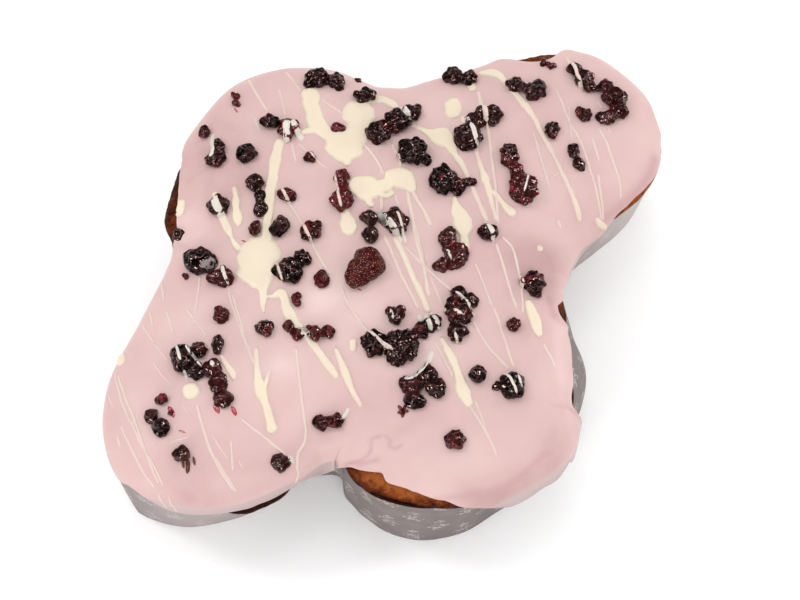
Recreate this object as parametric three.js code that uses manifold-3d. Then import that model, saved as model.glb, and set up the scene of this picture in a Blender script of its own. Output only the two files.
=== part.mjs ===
import * as THREE from 'three';
import { mergeVertices } from 'three/addons/utils/BufferGeometryUtils.js';
import Module from 'manifold-3d';

// A dove-shaped Easter cake in its paper case, iced and strewn with candied berries.
// Millimetres, +Z up, the dove's head towards +X and its wings towards +Y and -Y.

// Driving dimensions
const CASE_HEIGHT = 59; // paper wall
const PAPER = 1.2; // thickness of the paper wall
const CASE_FLOOR = 2; // thickness of the case's bottom
const BASE_INSET = -0.5; // how much smaller the bottom is than the rim at the wings
const FLANK_LEAN = 5.5; // extra inset of the bottom along the head and the tail
const LEAN_START = 40; // from the wings' middle line to where the flanks begin to lean
const LEAN_FULL = 100;
const LEAN_CURVE = 1.5; // how fast the wall draws in towards its foot
const BASE_ROUND = 1; // rounding of the case's and the cake's bottom edge
const SHOULDER_RUN = 20; // width of the cake's rounded shoulder
const SHOULDER_RISE = 9;
const DOME_RISE = 6; // the middle of the cake above its shoulders
const DOME_LENGTH = 160;
const DOME_WIDTH = 125;
const DOME_BLEND = 40; // from the rim to where the dome has its full height
const EDGE_RISE = 1; // where the shoulder starts above the rim
const ICING = 2.5;
const EDGE_LIFT = 0.6; // how far the icing's edge stands off what it hangs over
const EDGE_THICKNESS = 0.7; // share of the icing's thickness left at its edge
const GAP = 0.4; // clearance between touching pieces
const SEGMENTS = 74; // samples round the outline
const WING_X = -9; // middle line of the wings

// The rim seen from above, from the head round by the far wing, tail and near wing.
// Each point: x, y, how far the icing runs down past the rim (short of it when negative),
// and how far the crust swells out over the paper (inside it when negative).
const RIM = [
  [142.5, 0, 4, 1.5],
  [138.5, 20, 3, 1.5],
  [125, 36, -9, 1.5],
  [108, 44, -3, 1.5],
  [78, 57, 4, 1.5],
  [53, 67, 5, 1.5],
  [45, 80, 4, 1.5],
  [38, 92, 3, 1.5],
  [20, 107, 4, 1.5],
  [0, 113, 3, 1.5],
  [-26, 107, 2, 1.5],
  [-38, 100, -5, 1.5],
  [-50, 91, -12, 1.5],
  [-63, 78, -15, 1.5],
  [-68, 61, 0, 1.5],
  [-98, 45, 4, 1.5],
  [-127, 28, 5, 1.5],
  [-143, 9, 4, 1.5],
  [-146, -10, 4, 1.5],
  [-137, -28, 7, 1.5],
  [-117, -40, 9, 3],
  [-89, -47, 10, 4],
  [-68, -52, 4, 5],
  [-69, -61, -1, 4],
  [-70, -69, -7, 1],
  [-68, -79, -13, -1.7],
  [-58, -93, -12, -1.7],
  [-46, -102, -4, 1],
  [-31, -109, 9, 1.5],
  [-9, -112, 13, 1.5],
  [9, -109, 19, 2.5],
  [20, -104, 14, 3],
  [28, -98, 3, 2],
  [34, -91, -6, 1],
  [40, -83, -13, 1],
  [46, -71, -11, 1],
  [51, -58, -5, 1.5],
  [59, -48, 2, 1.5],
  [70, -41, 8, 1.5],
  [100, -39.5, 1, 1],
  [129, -34, 1, 1],
  [140, -22, 2, 1.5],
];

// Candied berries, each node as its lumps: x, y, length, width, height.
// Lengths lie across the cake's diagonal, at the angle BERRY_TURN.
const BERRY_TURN = -38;
const BERRY_CLEARANCE = 0.6; // over the icing
const BERRY_SEAT = 0.3; // height of a lump's middle over the icing, as a share of its height
const SMALL_LUMP = 10.5; // lumps up to this length have few facets
const BUMP = 0.1; // unevenness, as a share of a lump's size
const BUMP_WAVES = 9;
const DARK_BERRIES = [
  [[-27, 89, 6, 9, 5], [-31.5, 85, 10, 8, 6]],
  [[-19.5, 77.5, 10, 9, 8]],
  [[-1.5, 84, 8, 7, 6]],
  [[30, 90, 11, 9, 8], [36, 83.5, 9, 10, 7], [25.5, 90, 5.5, 5.5, 5]],
  [[42, 69, 10, 7.5, 6]],
  [[34, 49, 11, 10, 8], [44, 48, 12, 11, 9], [52.5, 48, 9, 9, 7]],
  [[39, 31.5, 13.5, 12, 10], [42.5, 24.5, 5.5, 5, 4]],
  [[81, 53, 10, 9, 7], [85.5, 47, 8.5, 6.5, 6]],
  [[99.5, 30.5, 10, 7.5, 6], [104, 22.5, 11, 10, 7]],
  [[79, 25, 11.5, 10, 8], [72, 26.5, 9, 9, 6], [64, 22, 13, 13, 9]],
  [[126.5, 21, 8, 8, 6], [126, 15, 9, 10, 7], [125.5, 9.5, 6, 6.5, 5]],
  [[131, 5, 8.5, 8, 7], [130.5, -3, 11, 11, 8], [128, -9, 8, 8, 7], [121, -8, 9, 8, 6]],
  [[97.5, -12, 5.5, 9, 5], [96, -18, 6.5, 8, 5]],
  [[-25, 63, 9, 8.5, 7], [-27, 56.5, 5, 7, 5], [-31, 51.5, 5.5, 8, 5]],
  [[-44, 65, 10.5, 10, 7]],
  [[-29.5, 38.5, 9, 10.5, 8]],
  [[-65, 67, 5.5, 8, 5]],
  [[-66, 49, 16, 12, 9]],
  [[4.5, 17.5, 9, 8.5, 7], [0, 11, 7.5, 8.5, 6]],
  [[12.5, 9, 11, 13, 7]],
  [[41.5, 12, 12.5, 13.5, 9], [44.5, 5.5, 7.5, 6.5, 6], [50.5, 4, 8, 4.5, 4]],
  [[25, -12, 8, 11, 7], [23.5, -20.5, 11, 12, 8], [16, -20.5, 9, 7, 6]],
  [[41.5, -19.5, 9, 9, 7]],
  [[-30.5, 20.5, 8.5, 9, 7], [-38.5, 19, 11, 11.5, 8], [-42.5, 23.5, 6, 6, 4]],
  [[-14.5, -26, 8, 7.5, 6]],
  [[8, -41, 12, 14, 9], [15.5, -40.5, 7, 7, 5], [13, -35, 7, 8, 6], [1.5, -48, 9.5, 9.5, 7]],
  [[-4.5, -38.5, 8, 8, 6], [-11, -38, 8, 7, 6], [-22, -39, 15, 16.5, 10], [-30, -30, 10.5, 12, 8]],
  [[-20.5, -55, 8, 9, 7], [-28.5, -54.5, 11, 8, 6], [-21.5, -62.5, 9, 9, 7], [-32, -61, 10.5, 8, 7]],
  [[-3.5, -68.5, 8, 9, 7]],
  [[5.5, -81.5, 10.5, 12.5, 9], [0, -77.5, 5.5, 5, 4]],
  [[-99, 15.5, 9.5, 13, 9], [-97.5, 7, 8, 7.5, 7], [-91, 14.5, 8.5, 8, 6],
    [-91.5, 3.5, 9.5, 8.5, 7], [-93, -3, 8, 10, 6], [-95.5, -10, 9.5, 9, 7]],
  [[-83, 11, 6, 9, 6]],
  [[-124, 3.5, 6, 7.5, 6], [-124, -3.5, 8, 8.5, 7]],
  [[-123.5, -18, 7.5, 8, 6]],
  [[-92.5, -46, 10, 9, 8]],
  [[-68, -43.5, 8, 7.5, 6], [-63.5, -46.5, 8, 7, 6]],
];
const RED_BERRIES = [
  [[-27, 100, 6.5, 6.5, 5]],
  [[3.5, 75.5, 10, 9, 7]],
  [[1.5, 58, 6.5, 6, 5]],
  [[96.5, 2, 6.5, 9.5, 6]],
  [[72.5, 3, 8, 12, 8], [70, -5, 7, 9, 6], [67.5, -13, 13, 13.5, 10]],
  [[113.5, -0.5, 9, 7, 6]],
  [[-17.5, 49, 9, 8.5, 7]],
  [[-38.5, 45.5, 6, 7, 6]],
  [[7.5, 41.5, 7.5, 6.5, 6], [4, 37, 5, 7, 5], [0, 32, 11.5, 10.5, 7]],
  [[-19.5, 28.5, 10, 9, 7]],
  [[-63.5, 36, 12, 8.5, 7]],
  [[-74, 21.5, 7.5, 9, 7]],
  [[-30, 7, 7, 8.5, 6]],
  [[-54.5, -1, 5.5, 7, 5], [-53, -6, 6.5, 5.5, 5]],
  [[-62.5, 4.5, 8.5, 8, 7]],
  [[-47, -11, 8, 7, 6], [-42, -13.5, 6, 6.5, 5]],
  [[43.5, -50, 10, 12, 9]],
  [[23.5, -60, 7, 6.5, 5]],
  [[-116, 6.5, 5, 5.5, 4]],
  [[-29, -84.5, 9.5, 9, 7]],
];
const STRAWBERRY = { x: -12.5, y: -1, length: 18, width: 18.5, height: 12 };
const STRAWBERRY_TAPER = 0.35; // narrowing from its crown to its tip
const STRAWBERRY_SEAT = 0.35;

// Bits too small to stand alone, set in the icing: x, y, length, width, height.
const SET_BITS = [
  [47, 81, 3, 3, 2.5],
  [119, 34, 4, 3, 2.5],
  [120, 30, 4, 3, 2.5],
  [-44.5, 7.5, 3.2, 8, 3],
  [-4, 106, 5, 4, 3],
  [-7, 102, 5, 4, 3],
];

// Thick drizzle, set on the icing: its line of x, y places, and its width.
const DRIZZLE_RISE = 0.9;
const DRIZZLE_SINK = 1.2; // depth of its foot in the icing
const DRIZZLE_ENDS = 1.5; // bluntness of its ends
const DRIZZLE = [
  { width: 9, line: [[25, 89], [15, 76], [17, 68]] },
  { width: 13, line: [[37, 66], [26, 59], [18, 54], [13, 45]] },
  { width: 3.7, line: [[40, 68], [50, 62], [50, 55]] },
  { width: 7.5, line: [[0, 28], [-8, 16]] },
  { width: 8.5, line: [[8, 35], [20, 28], [32, 21]] },
  { width: 7.3, line: [[67, 43], [73, 39]] },
  { width: 9, line: [[50, 36], [59, 26]] },
  { width: 3.6, line: [[55, 22], [51, 4], [47, -13]] },
  { width: 8, line: [[42, 4], [37, -7], [31, -17]] },
  { width: 18, line: [[-54, 38], [-38, 27]] },
  { width: 5.3, line: [[-51, 25], [-58, 12]] },
  { width: 5.2, line: [[-52, 15], [-50, 8], [-51, -2], [-50, -10]] },
  { width: 7, line: [[-107, 5], [-101, 0]] },
  { width: 4, line: [[-2, 75], [-20, 59], [-33, 43], [-40, 38]] },
  { width: 3.6, line: [[-33, 68], [-42, 53]] },
  { width: 4, line: [[-71, 0], [-75, -6], [-82, -20], [-88, -33]] },
  { width: 3.5, line: [[-44, -20], [-47, -31], [-50, -48]] },
  { width: 4.3, line: [[-5, -45], [-8, -60], [-14, -74]] },
  { width: 5.3, line: [[37, -53], [34, -62], [30, -70]] },
  { width: 3.6, line: [[57, -5], [57, -18]] },
];

const PAPER_LOOK = { color: '#8f8681', roughness: 0.85 };
const CRUST_LOOK = { color: '#7a4420', roughness: 0.8 };
const ICING_LOOK = { color: '#e6c6c4', roughness: 0.3 };
const DARK_LOOK = { color: '#2a1018', roughness: 0.25 };
const RED_LOOK = { color: '#5e1526', roughness: 0.25 };
const STRAWBERRY_LOOK = { color: '#571420', roughness: 0.3 };

const clamp = THREE.MathUtils.clamp;
const smooth = THREE.MathUtils.smoothstep;

// The rim as evenly spaced samples, each with its outward direction.
function closedCurve(third) {
  const points = RIM.map((p) => new THREE.Vector3(p[0], p[1], third(p)));
  return new THREE.CatmullRomCurve3(points, true);
}

const runCurve = closedCurve((p) => p[2]);
const swellCurve = closedCurve((p) => p[3]);
const edge = [];
for (let i = 0; i < SEGMENTS; i++) {
  const run = runCurve.getPoint(i / SEGMENTS);
  const swell = swellCurve.getPoint(i / SEGMENTS);
  edge.push({ x: run.x, y: run.y, run: run.z, swell: swell.z });
}
edge.forEach((e, i) => {
  const before = edge[(i + SEGMENTS - 1) % SEGMENTS];
  const after = edge[(i + 1) % SEGMENTS];
  const step = Math.hypot(after.x - before.x, after.y - before.y);
  e.nx = (after.y - before.y) / step;
  e.ny = (before.x - after.x) / step;
  const flank = smooth(Math.abs(e.x - WING_X), LEAN_START, LEAN_FULL);
  e.inset = BASE_INSET + FLANK_LEAN * Math.abs(e.ny) * flank;
});

// How far a place lies inside the rim, and the sample it is nearest to.
function rimDistance(x, y) {
  let best = { distance: Infinity, at: edge[0] };
  edge.forEach((a, i) => {
    const b = edge[(i + 1) % SEGMENTS];
    const along = (x - a.x) * (b.x - a.x) + (y - a.y) * (b.y - a.y);
    const t = clamp(along / ((b.x - a.x) ** 2 + (b.y - a.y) ** 2), 0, 1);
    const dx = x - a.x - t * (b.x - a.x);
    const dy = y - a.y - t * (b.y - a.y);
    const inside = dx * a.nx + dy * a.ny < 0 ? 1 : -1;
    const distance = Math.hypot(dx, dy);
    if (distance < Math.abs(best.distance)) {
      best = { distance: inside * distance, at: t < 0.5 ? a : b };
    }
  });
  return best;
}

// The height of the crust, or of a skin of some thickness laid over it.
function skinHeight(x, y, thickness) {
  const { distance, at } = rimDistance(x, y);
  const inwards = (distance + at.swell + thickness) / (SHOULDER_RUN + thickness);
  const angle = Math.acos(1 - clamp(inwards, 0, 1));
  const shoulder = (SHOULDER_RISE + thickness) * Math.sin(angle);
  const dome = 1 - (x / DOME_LENGTH) ** 2 - (y / DOME_WIDTH) ** 2;
  const rise = DOME_RISE * dome * smooth(distance, 0, DOME_BLEND);
  return CASE_HEIGHT + EDGE_RISE + shoulder + rise;
}

function crustHeight(x, y) {
  return skinHeight(x, y, 0);
}

function icingHeight(x, y) {
  return skinHeight(x, y, GAP + ICING);
}

// A place on the crust's skin, lifted off it by a clearance or a thickness.
// The walk along the skin is counted from the rim: downwards outside it, inwards when negative.
const SHOULDER_WALK = 24;
function skinPlace(i, walk, lift) {
  const e = edge[i];
  const angle = clamp(-walk / SHOULDER_WALK, 0, 1) * Math.PI / 2;
  const beyond = Math.max(0, -walk - SHOULDER_WALK);
  const inwards = SHOULDER_RUN * (1 - Math.cos(angle)) - e.swell + beyond;
  const x = e.x - e.nx * inwards;
  const y = e.y - e.ny * inwards;
  const top = walk > 0 ? CASE_HEIGHT + EDGE_RISE - walk : crustHeight(x, y);
  const out = lift * Math.cos(angle);
  return new THREE.Vector3(x + e.nx * out, y + e.ny * out, top + lift * Math.sin(angle));
}

// A place on the skin between the shoulder's end and the middle of the cake.
function innerPlace(i, share, lift) {
  const from = skinPlace(i, ringWalk(i, LAST_RING), lift);
  const x = from.x * share;
  const y = from.y * share;
  return new THREE.Vector3(x, y, crustHeight(x, y) + lift);
}

// The rings of the icing, as walks along the skin that follow its wandering lower edge.
const SIDE_SHARE = [1, 0.5, 0, 0, 0, 0, 0];
const WALK_BACK = [0, 0.4, 0.8, 5, 10, 16, SHOULDER_WALK];
const INNER_SHARES = [0.72, 0.42];
const SKIN_START = 2; // the first ring on the shoulder, after those on the side
const LAST_RING = WALK_BACK.length - 1;
function ringWalk(i, ring) {
  const run = edge[i].run;
  return Math.max(run, 0) * SIDE_SHARE[ring] + Math.min(run, 0) - WALK_BACK[ring];
}

// A closed body from rings of places, with a single place at each end.
// Turned about, its facets fold the other way, to lie flat against those of a neighbour.
function closedBody(rings, turned) {
  const last = rings.length - 1;
  const profile = rings.map((ring, j) => new THREE.Vector2(j === 0 || j === last ? 0 : 1, j));
  const geometry = new THREE.LatheGeometry(profile, SEGMENTS);
  const position = geometry.attributes.position;
  for (let v = 0; v < position.count; v++) {
    const place = rings[v % rings.length](Math.floor(v / rings.length) % SEGMENTS);
    position.setXYZ(v, place.x, place.y, place.z);
  }
  const corners = geometry.index.array;
  for (let q = 0; turned && q < corners.length; q += 6) {
    const [a, b, d, c] = corners.slice(q, q + 4);
    corners.set([a, b, c, a, c, d], q);
  }
  return geometry;
}

function atRim(i, inwards, height) {
  const e = edge[i];
  return new THREE.Vector3(e.x - e.nx * inwards, e.y - e.ny * inwards, height);
}

function wallPlace(i, inwards, height) {
  const lean = edge[i].inset * clamp(1 - height / CASE_HEIGHT, 0, 1) ** LEAN_CURVE;
  return atRim(i, inwards + lean, height);
}

function middle(height) {
  return () => new THREE.Vector3(0, 0, height);
}

const halfWay = 0.45 * CASE_HEIGHT; // a ring on the wall, where it bends inwards
const paperCase = closedBody([
  middle(0),
  (i) => wallPlace(i, BASE_ROUND, 0),
  (i) => wallPlace(i, 0, BASE_ROUND),
  (i) => wallPlace(i, 0, halfWay),
  (i) => wallPlace(i, 0, CASE_HEIGHT),
  (i) => wallPlace(i, PAPER, CASE_HEIGHT),
  (i) => wallPlace(i, PAPER, halfWay),
  (i) => wallPlace(i, PAPER, CASE_FLOOR),
  middle(CASE_FLOOR),
]);

const skinRings = WALK_BACK.map((back, ring) => ring).slice(SKIN_START);
const cakeWall = PAPER + GAP;
const cakeBottom = CASE_FLOOR + GAP;
const middleCrust = crustHeight(0, 0);
const cake = closedBody([
  middle(cakeBottom),
  (i) => wallPlace(i, cakeWall + BASE_ROUND, cakeBottom),
  (i) => wallPlace(i, cakeWall, cakeBottom + BASE_ROUND),
  (i) => wallPlace(i, cakeWall, halfWay),
  (i) => wallPlace(i, cakeWall, CASE_HEIGHT + GAP),
  (i) => skinPlace(i, 0, 0),
  ...skinRings.map((ring) => (i) => skinPlace(i, ringWalk(i, ring), 0)),
  ...INNER_SHARES.map((share) => (i) => innerPlace(i, share, 0)),
  middle(middleCrust),
], true);

const icingSkin = closedBody([
  middle(middleCrust + GAP),
  ...INNER_SHARES.toReversed().map((share) => (i) => innerPlace(i, share, GAP)),
  ...skinRings.toReversed().map((ring) => (i) => skinPlace(i, ringWalk(i, ring), GAP)),
  (i) => skinPlace(i, ringWalk(i, 1), GAP + EDGE_LIFT),
  (i) => skinPlace(i, ringWalk(i, 0), GAP + EDGE_LIFT),
  (i) => skinPlace(i, ringWalk(i, 0), GAP + ICING * EDGE_THICKNESS),
  (i) => skinPlace(i, ringWalk(i, 1), GAP + ICING),
  ...skinRings.map((ring) => (i) => skinPlace(i, ringWalk(i, ring), GAP + ICING)),
  ...INNER_SHARES.map((share) => (i) => innerPlace(i, share, GAP + ICING)),
  middle(middleCrust + GAP + ICING),
]);

// Solids are joined and cut as closed triangle meshes.
const wasm = await Module();
wasm.setup();

function solidOf(geometry) {
  geometry.deleteAttribute('normal');
  geometry.deleteAttribute('uv');
  const merged = mergeVertices(geometry);
  const index = merged.index.array;
  const corners = [];
  for (let c = 0; c < index.length; c += 3) {
    const [p, q, r] = index.subarray(c, c + 3);
    if (p !== q && q !== r && r !== p) corners.push(p, q, r);
  }
  const vertProperties = merged.attributes.position.array;
  const triVerts = Uint32Array.from(corners);
  return new wasm.Manifold(new wasm.Mesh({ numProp: 3, vertProperties, triVerts }));
}

function geometryOf(solid) {
  const { vertProperties, triVerts } = solid.getMesh();
  const geometry = new THREE.BufferGeometry();
  geometry.setAttribute('position', new THREE.BufferAttribute(vertProperties, 3));
  geometry.setIndex(new THREE.BufferAttribute(triVerts, 1));
  geometry.computeVertexNormals();
  return geometry;
}

function joined(solids) {
  return solids.reduce((whole, solid) => whole.add(solid));
}

// An uneven lump resting with its flattened underside on the icing, or sunk in it.
const turn = THREE.MathUtils.degToRad(BERRY_TURN);
function lump([x, y, length, width, height], resting) {
  const few = Math.max(length, width) <= SMALL_LUMP;
  const ball = few ? new THREE.OctahedronGeometry(0.5, 1) : new THREE.IcosahedronGeometry(0.5, 1);
  const position = ball.attributes.position;
  const middleHeight = icingHeight(x, y) + height * BERRY_SEAT;
  for (let v = 0; v < position.count; v++) {
    const [px, py, pz] = [position.getX(v), position.getY(v), position.getZ(v)];
    const wave = Math.sin(x + BUMP_WAVES * px) * Math.sin(y + BUMP_WAVES * py);
    const bump = 1 + BUMP * wave * Math.cos(x + y + BUMP_WAVES * pz);
    const along = px * length * bump;
    const across = py * width * bump;
    const vx = x + along * Math.cos(turn) - across * Math.sin(turn);
    const vy = y + along * Math.sin(turn) + across * Math.cos(turn);
    const vz = middleHeight + pz * height * bump;
    const floor = resting ? icingHeight(vx, vy) + BERRY_CLEARANCE : 0;
    position.setXYZ(v, vx, vy, Math.max(vz, floor));
  }
  return solidOf(ball);
}

// The strawberry: broad at its crown, towards the far wing, and narrow at its tip.
function strawberry() {
  const { x, y, length, width, height } = STRAWBERRY;
  const ball = new THREE.IcosahedronGeometry(0.5, 2);
  const position = ball.attributes.position;
  for (let v = 0; v < position.count; v++) {
    const [px, py, pz] = [position.getX(v), position.getY(v), position.getZ(v)];
    const taper = 1 - STRAWBERRY_TAPER * (px + py);
    const along = px * length;
    const across = py * width * taper;
    const vx = x + along * Math.cos(turn) - across * Math.sin(turn);
    const vy = y + along * Math.sin(turn) + across * Math.cos(turn);
    const vz = icingHeight(x, y) + height * STRAWBERRY_SEAT + pz * height * taper;
    position.setXYZ(v, vx, vy, Math.max(vz, icingHeight(vx, vy) + BERRY_CLEARANCE));
  }
  return solidOf(ball);
}

// A low, round-ended ridge of drizzle along a line.
function ridge({ width, line }) {
  const curve = new THREE.CatmullRomCurve3(line.map(([x, y]) => new THREE.Vector3(x, y, 0)));
  const ball = new THREE.SphereGeometry(1, 4, 2 + line.length);
  const position = ball.attributes.position;
  for (let v = 0; v < position.count; v++) {
    const [px, py, pz] = [position.getX(v), position.getY(v), position.getZ(v)];
    const share = Math.acos(clamp(py, -1, 1)) / Math.PI;
    const full = Math.min(1, DRIZZLE_ENDS * Math.sin(share * Math.PI));
    const girth = Math.hypot(px, pz) || 1;
    const at = curve.getPoint(share);
    const ahead = curve.getTangent(share);
    const aside = (px / girth) * full * width / 2 * Math.sign(Math.hypot(px, pz));
    const x = at.x - ahead.y * aside;
    const y = at.y + ahead.x * aside;
    const rise = pz > 0 ? DRIZZLE_RISE : DRIZZLE_SINK;
    position.setXYZ(v, x, y, icingHeight(x, y) + (pz / girth) * rise * full);
  }
  return solidOf(ball);
}

// A six-sided post round a lump, where the drizzle is kept clear of it.
const BERRY_MARGIN = 1.2;
const POST_RADIUS = 0.58; // of a lump's length, so that the flats lie outside it
function post([x, y, length, width]) {
  const around = new THREE.CylinderGeometry(POST_RADIUS, POST_RADIUS, 1, 6);
  around.rotateX(Math.PI / 2);
  around.scale(length + BERRY_MARGIN, width + BERRY_MARGIN, 4 * CASE_HEIGHT);
  around.rotateZ(turn);
  around.translate(x, y, 0);
  return solidOf(around);
}

const darkSolids = DARK_BERRIES.map((lumps) => joined(lumps.map((l) => lump(l, true))));
const redSolids = RED_BERRIES.map((lumps) => joined(lumps.map((l) => lump(l, true))));
const allLumps = [...DARK_BERRIES, ...RED_BERRIES].flat();
const drizzle = joined(DRIZZLE.map(ridge)).subtract(joined(allLumps.map(post)));
const bits = joined(SET_BITS.map((l) => lump(l, false)));
const icing = solidOf(icingSkin).add(drizzle).add(bits);

const group = new THREE.Group();
function addNode(name, geometry, look) {
  const mesh = new THREE.Mesh(geometry, new THREE.MeshStandardMaterial({ ...look, metalness: 0 }));
  mesh.name = name;
  group.add(mesh);
}

function addBerries(name, solids, look) {
  solids.forEach((solid, n) => {
    addNode(`${name}_${String(n + 1).padStart(2, '0')}`, geometryOf(solid), look);
  });
}

addNode('paper_case', paperCase, PAPER_LOOK);
addNode('cake', cake, CRUST_LOOK);
addNode('icing', geometryOf(icing), ICING_LOOK);
addBerries('dark_berry', darkSolids, DARK_LOOK);
addBerries('red_berry', redSolids, RED_LOOK);
addNode('strawberry', geometryOf(strawberry()), STRAWBERRY_LOOK);

// The frame's origin is under the middle of the whole.
const box = new THREE.Box3().setFromObject(group);
const centre = box.getCenter(new THREE.Vector3());
group.children.forEach((mesh) => mesh.position.set(-centre.x, -centre.y, -box.min.z));

export default group;
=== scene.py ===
import math
import bmesh
import bpy
import numpy as np
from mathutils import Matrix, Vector, noise
from mathutils.bvhtree import BVHTree


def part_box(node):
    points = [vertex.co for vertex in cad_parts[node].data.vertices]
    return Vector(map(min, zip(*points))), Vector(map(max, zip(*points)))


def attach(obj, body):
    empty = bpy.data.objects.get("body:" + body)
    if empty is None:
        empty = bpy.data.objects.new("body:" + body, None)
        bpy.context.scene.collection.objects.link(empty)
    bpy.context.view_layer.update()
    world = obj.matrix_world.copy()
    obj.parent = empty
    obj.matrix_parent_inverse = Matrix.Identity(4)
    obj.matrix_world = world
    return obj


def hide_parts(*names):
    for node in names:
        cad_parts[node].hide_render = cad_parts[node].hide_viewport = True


# Dove-shaped Easter cake in its paper case.
# Shapes are worked out in millimetres, then moved and scaled into the frame.
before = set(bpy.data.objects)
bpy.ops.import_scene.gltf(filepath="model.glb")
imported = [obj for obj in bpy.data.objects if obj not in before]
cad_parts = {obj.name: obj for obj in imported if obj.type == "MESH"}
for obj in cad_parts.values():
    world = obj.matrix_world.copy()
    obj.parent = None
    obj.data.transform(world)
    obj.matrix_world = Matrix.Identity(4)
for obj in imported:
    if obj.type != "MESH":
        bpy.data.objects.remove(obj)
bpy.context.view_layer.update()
mm = 0.001
dice = np.random.default_rng(31)

# the photograph's camera, which also carries places read as pixels onto the cake
view = {
    "azimuth": -38.0,
    "elevation": 69.0,
    "distance": 826.0,
    "target": (1.0, -8.6, 38.4),
    "focal": 1800.0,         # pixels
    "size": (800, 600),
    "sensor": 36.0,
}

# the same sizes as the solids, and how finely they are followed
form = {
    "caseHeight": 59.0,
    "paper": 1.2,
    "caseFloor": 2.0,
    "baseInset": -0.5,
    "flankLean": 5.5,
    "leanStart": 40.0,
    "leanFull": 100.0,
    "leanCurve": 1.5,
    "shoulderRun": 20.0,
    "shoulderRise": 9.0,
    "shoulderWalk": 24.0,
    "domeRise": 6.0,
    "domeLength": 160.0,
    "domeWidth": 125.0,
    "domeBlend": 40.0,
    "edgeRise": 1.0,
    "gap": 0.4,
    "wingX": -9.0,
    "bridgeRounds": 150,     # the skin bridges over the hollow corners
    "evenRounds": 600,       # keeps deep rings from crossing where the rim turns sharply
    "around": 760,           # places round the rim
    "splineSteps": (40, 24),  # between two points of the rim, and of a stroke
    "nearRim": 4.0,          # closer than this, distances are square to the rim
    "hollowTurn": (0.06, 0.2),  # how sharply the rim turns in a hollow corner, from and to
    "hollowRounds": 40,
    "hollowPull": 1.6,
    "deepWalk": (10, 26),    # where rings begin to be evened, and where they are fully
    "bulgeCurve": 4,
    # x, y and reach of stretches with a sharper shoulder, and its run there
    "sharp": [(-5, -108, 34, 9.0), (-95, -45, 26, 9.0)],
    # x, y and reach of stretches where the wall bulges below its rim, and how far
    "bulges": [(39, -81, 20, 11.0), (-143, 8, 20, 4.5), (139, -25, 16, 1.5), (-18, -110, 22, -4.5),
               (-82, -48.5, 15, -5.5), (105, -43, 25, -1.5), (-68, -58, 7, 3.5), (-71, -75, 8, -1.5)],
    # x, y, icing past the rim (short of it when negative), crust over the paper
    "rim": [
        (142.5, 0, -1, 2.4), (138.5, 20, 2, 3), (133, 28.5, -2, 2.6), (126, 35.5, -13, 3.2),
        (117, 40, -15, 3.4), (108, 44.2, -9, 3), (98, 48.5, 0, 1.5), (78, 57, 4, 0.5),
        (53, 67, 5, 1), (45, 80, 4, 1.5), (38, 92, 3, 1.5),
        (20, 107, 4, 0.8), (0, 113, 3, 0.5), (-26, 107, 2, 0), (-38, 100, -5, 0.5),
        (-50, 91, -12, 2), (-63, 78, -15, 3), (-68, 61, 0, 3), (-98, 45, 4, 0.8),
        (-127, 28, 5, 1.6), (-143, 9, 4, 0.4), (-146, -10, 4, 0.2), (-137, -28, 7, -1.2),
        (-117, -40, 9, 2.6), (-89, -47, 10, 3.6), (-67, -50.6, 4, 2.8), (-68, -59.6, -1, 1.8),
        (-70, -69, -7, 1), (-68, -79, -13, -1), (-58, -93, -12, -1), (-46, -102, -4, 1),
        (-31, -109, 10, 1.8), (-9, -112, 17, 3.2), (0, -111.1, 20, 5), (9, -109, 18, 5.6),
        (20, -104, 9, 2.2), (27.5, -97.8, 2, -1), (32.6, -90.2, 1, -2), (38.2, -82.2, 1, -2),
        (44.2, -72.5, 1, -1.5), (50, -65.5, -4, -0.5), (54.2, -57.5, -7, 0), (60, -49, 3, 1.2),
        (70, -43, 6, 1.5), (100, -42.5, -7, 1.4), (113, -41.8, -7.3, 1.4), (125, -38, -7.3, 1.4),
        (134, -31, -7.7, 1.4), (140.5, -22, -8, 1),
    ],
}


def smoothStep(value, low, high):
    share = np.clip((value - low) / (high - low), 0, 1)
    return share * share * (3 - 2 * share)


def nearness(places, middle, reach, power=1):
    # 1 at the middle, fading away from it; a higher power stays flat for longer
    return np.exp(-(((places[:, :2] - middle) ** 2).sum(1) / reach ** 2) ** power)


def closedSpline(points, count):
    # a smooth closed line through the points, evenly spaced along its length
    p = np.array(points, float)
    n = len(p)
    steps = form["splineSteps"][0]
    at = np.arange(n * steps) / steps
    i = at.astype(int)
    w = (at - i)[:, None]
    p0, p1, p2, p3 = (p[(i + k) % n] for k in (-1, 0, 1, 2))

    def knot(a, b):
        return np.sqrt(np.linalg.norm((b - a)[:, :3], axis=1))[:, None]

    d0, d1, d2 = knot(p0, p1), knot(p1, p2), knot(p2, p3)
    m1 = ((p1 - p0) / d0 - (p2 - p0) / (d0 + d1) + (p2 - p1) / d1) * d1
    m2 = ((p2 - p1) / d1 - (p3 - p1) / (d1 + d2) + (p3 - p2) / d2) * d1
    line = (2 * p1 - 2 * p2 + m1 + m2) * w**3 + (3 * p2 - 3 * p1 - 2 * m1 - m2) * w**2 + m1 * w + p1
    closed = np.vstack([line, line[:1]])
    walked = np.r_[0, np.cumsum(np.linalg.norm(np.diff(closed[:, :2], axis=0), axis=1))]
    even = np.linspace(0, walked[-1], count, endpoint=False)
    spaced = np.stack([np.interp(even, walked, column) for column in closed.T], axis=1)
    return spaced, walked[-1]


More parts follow.
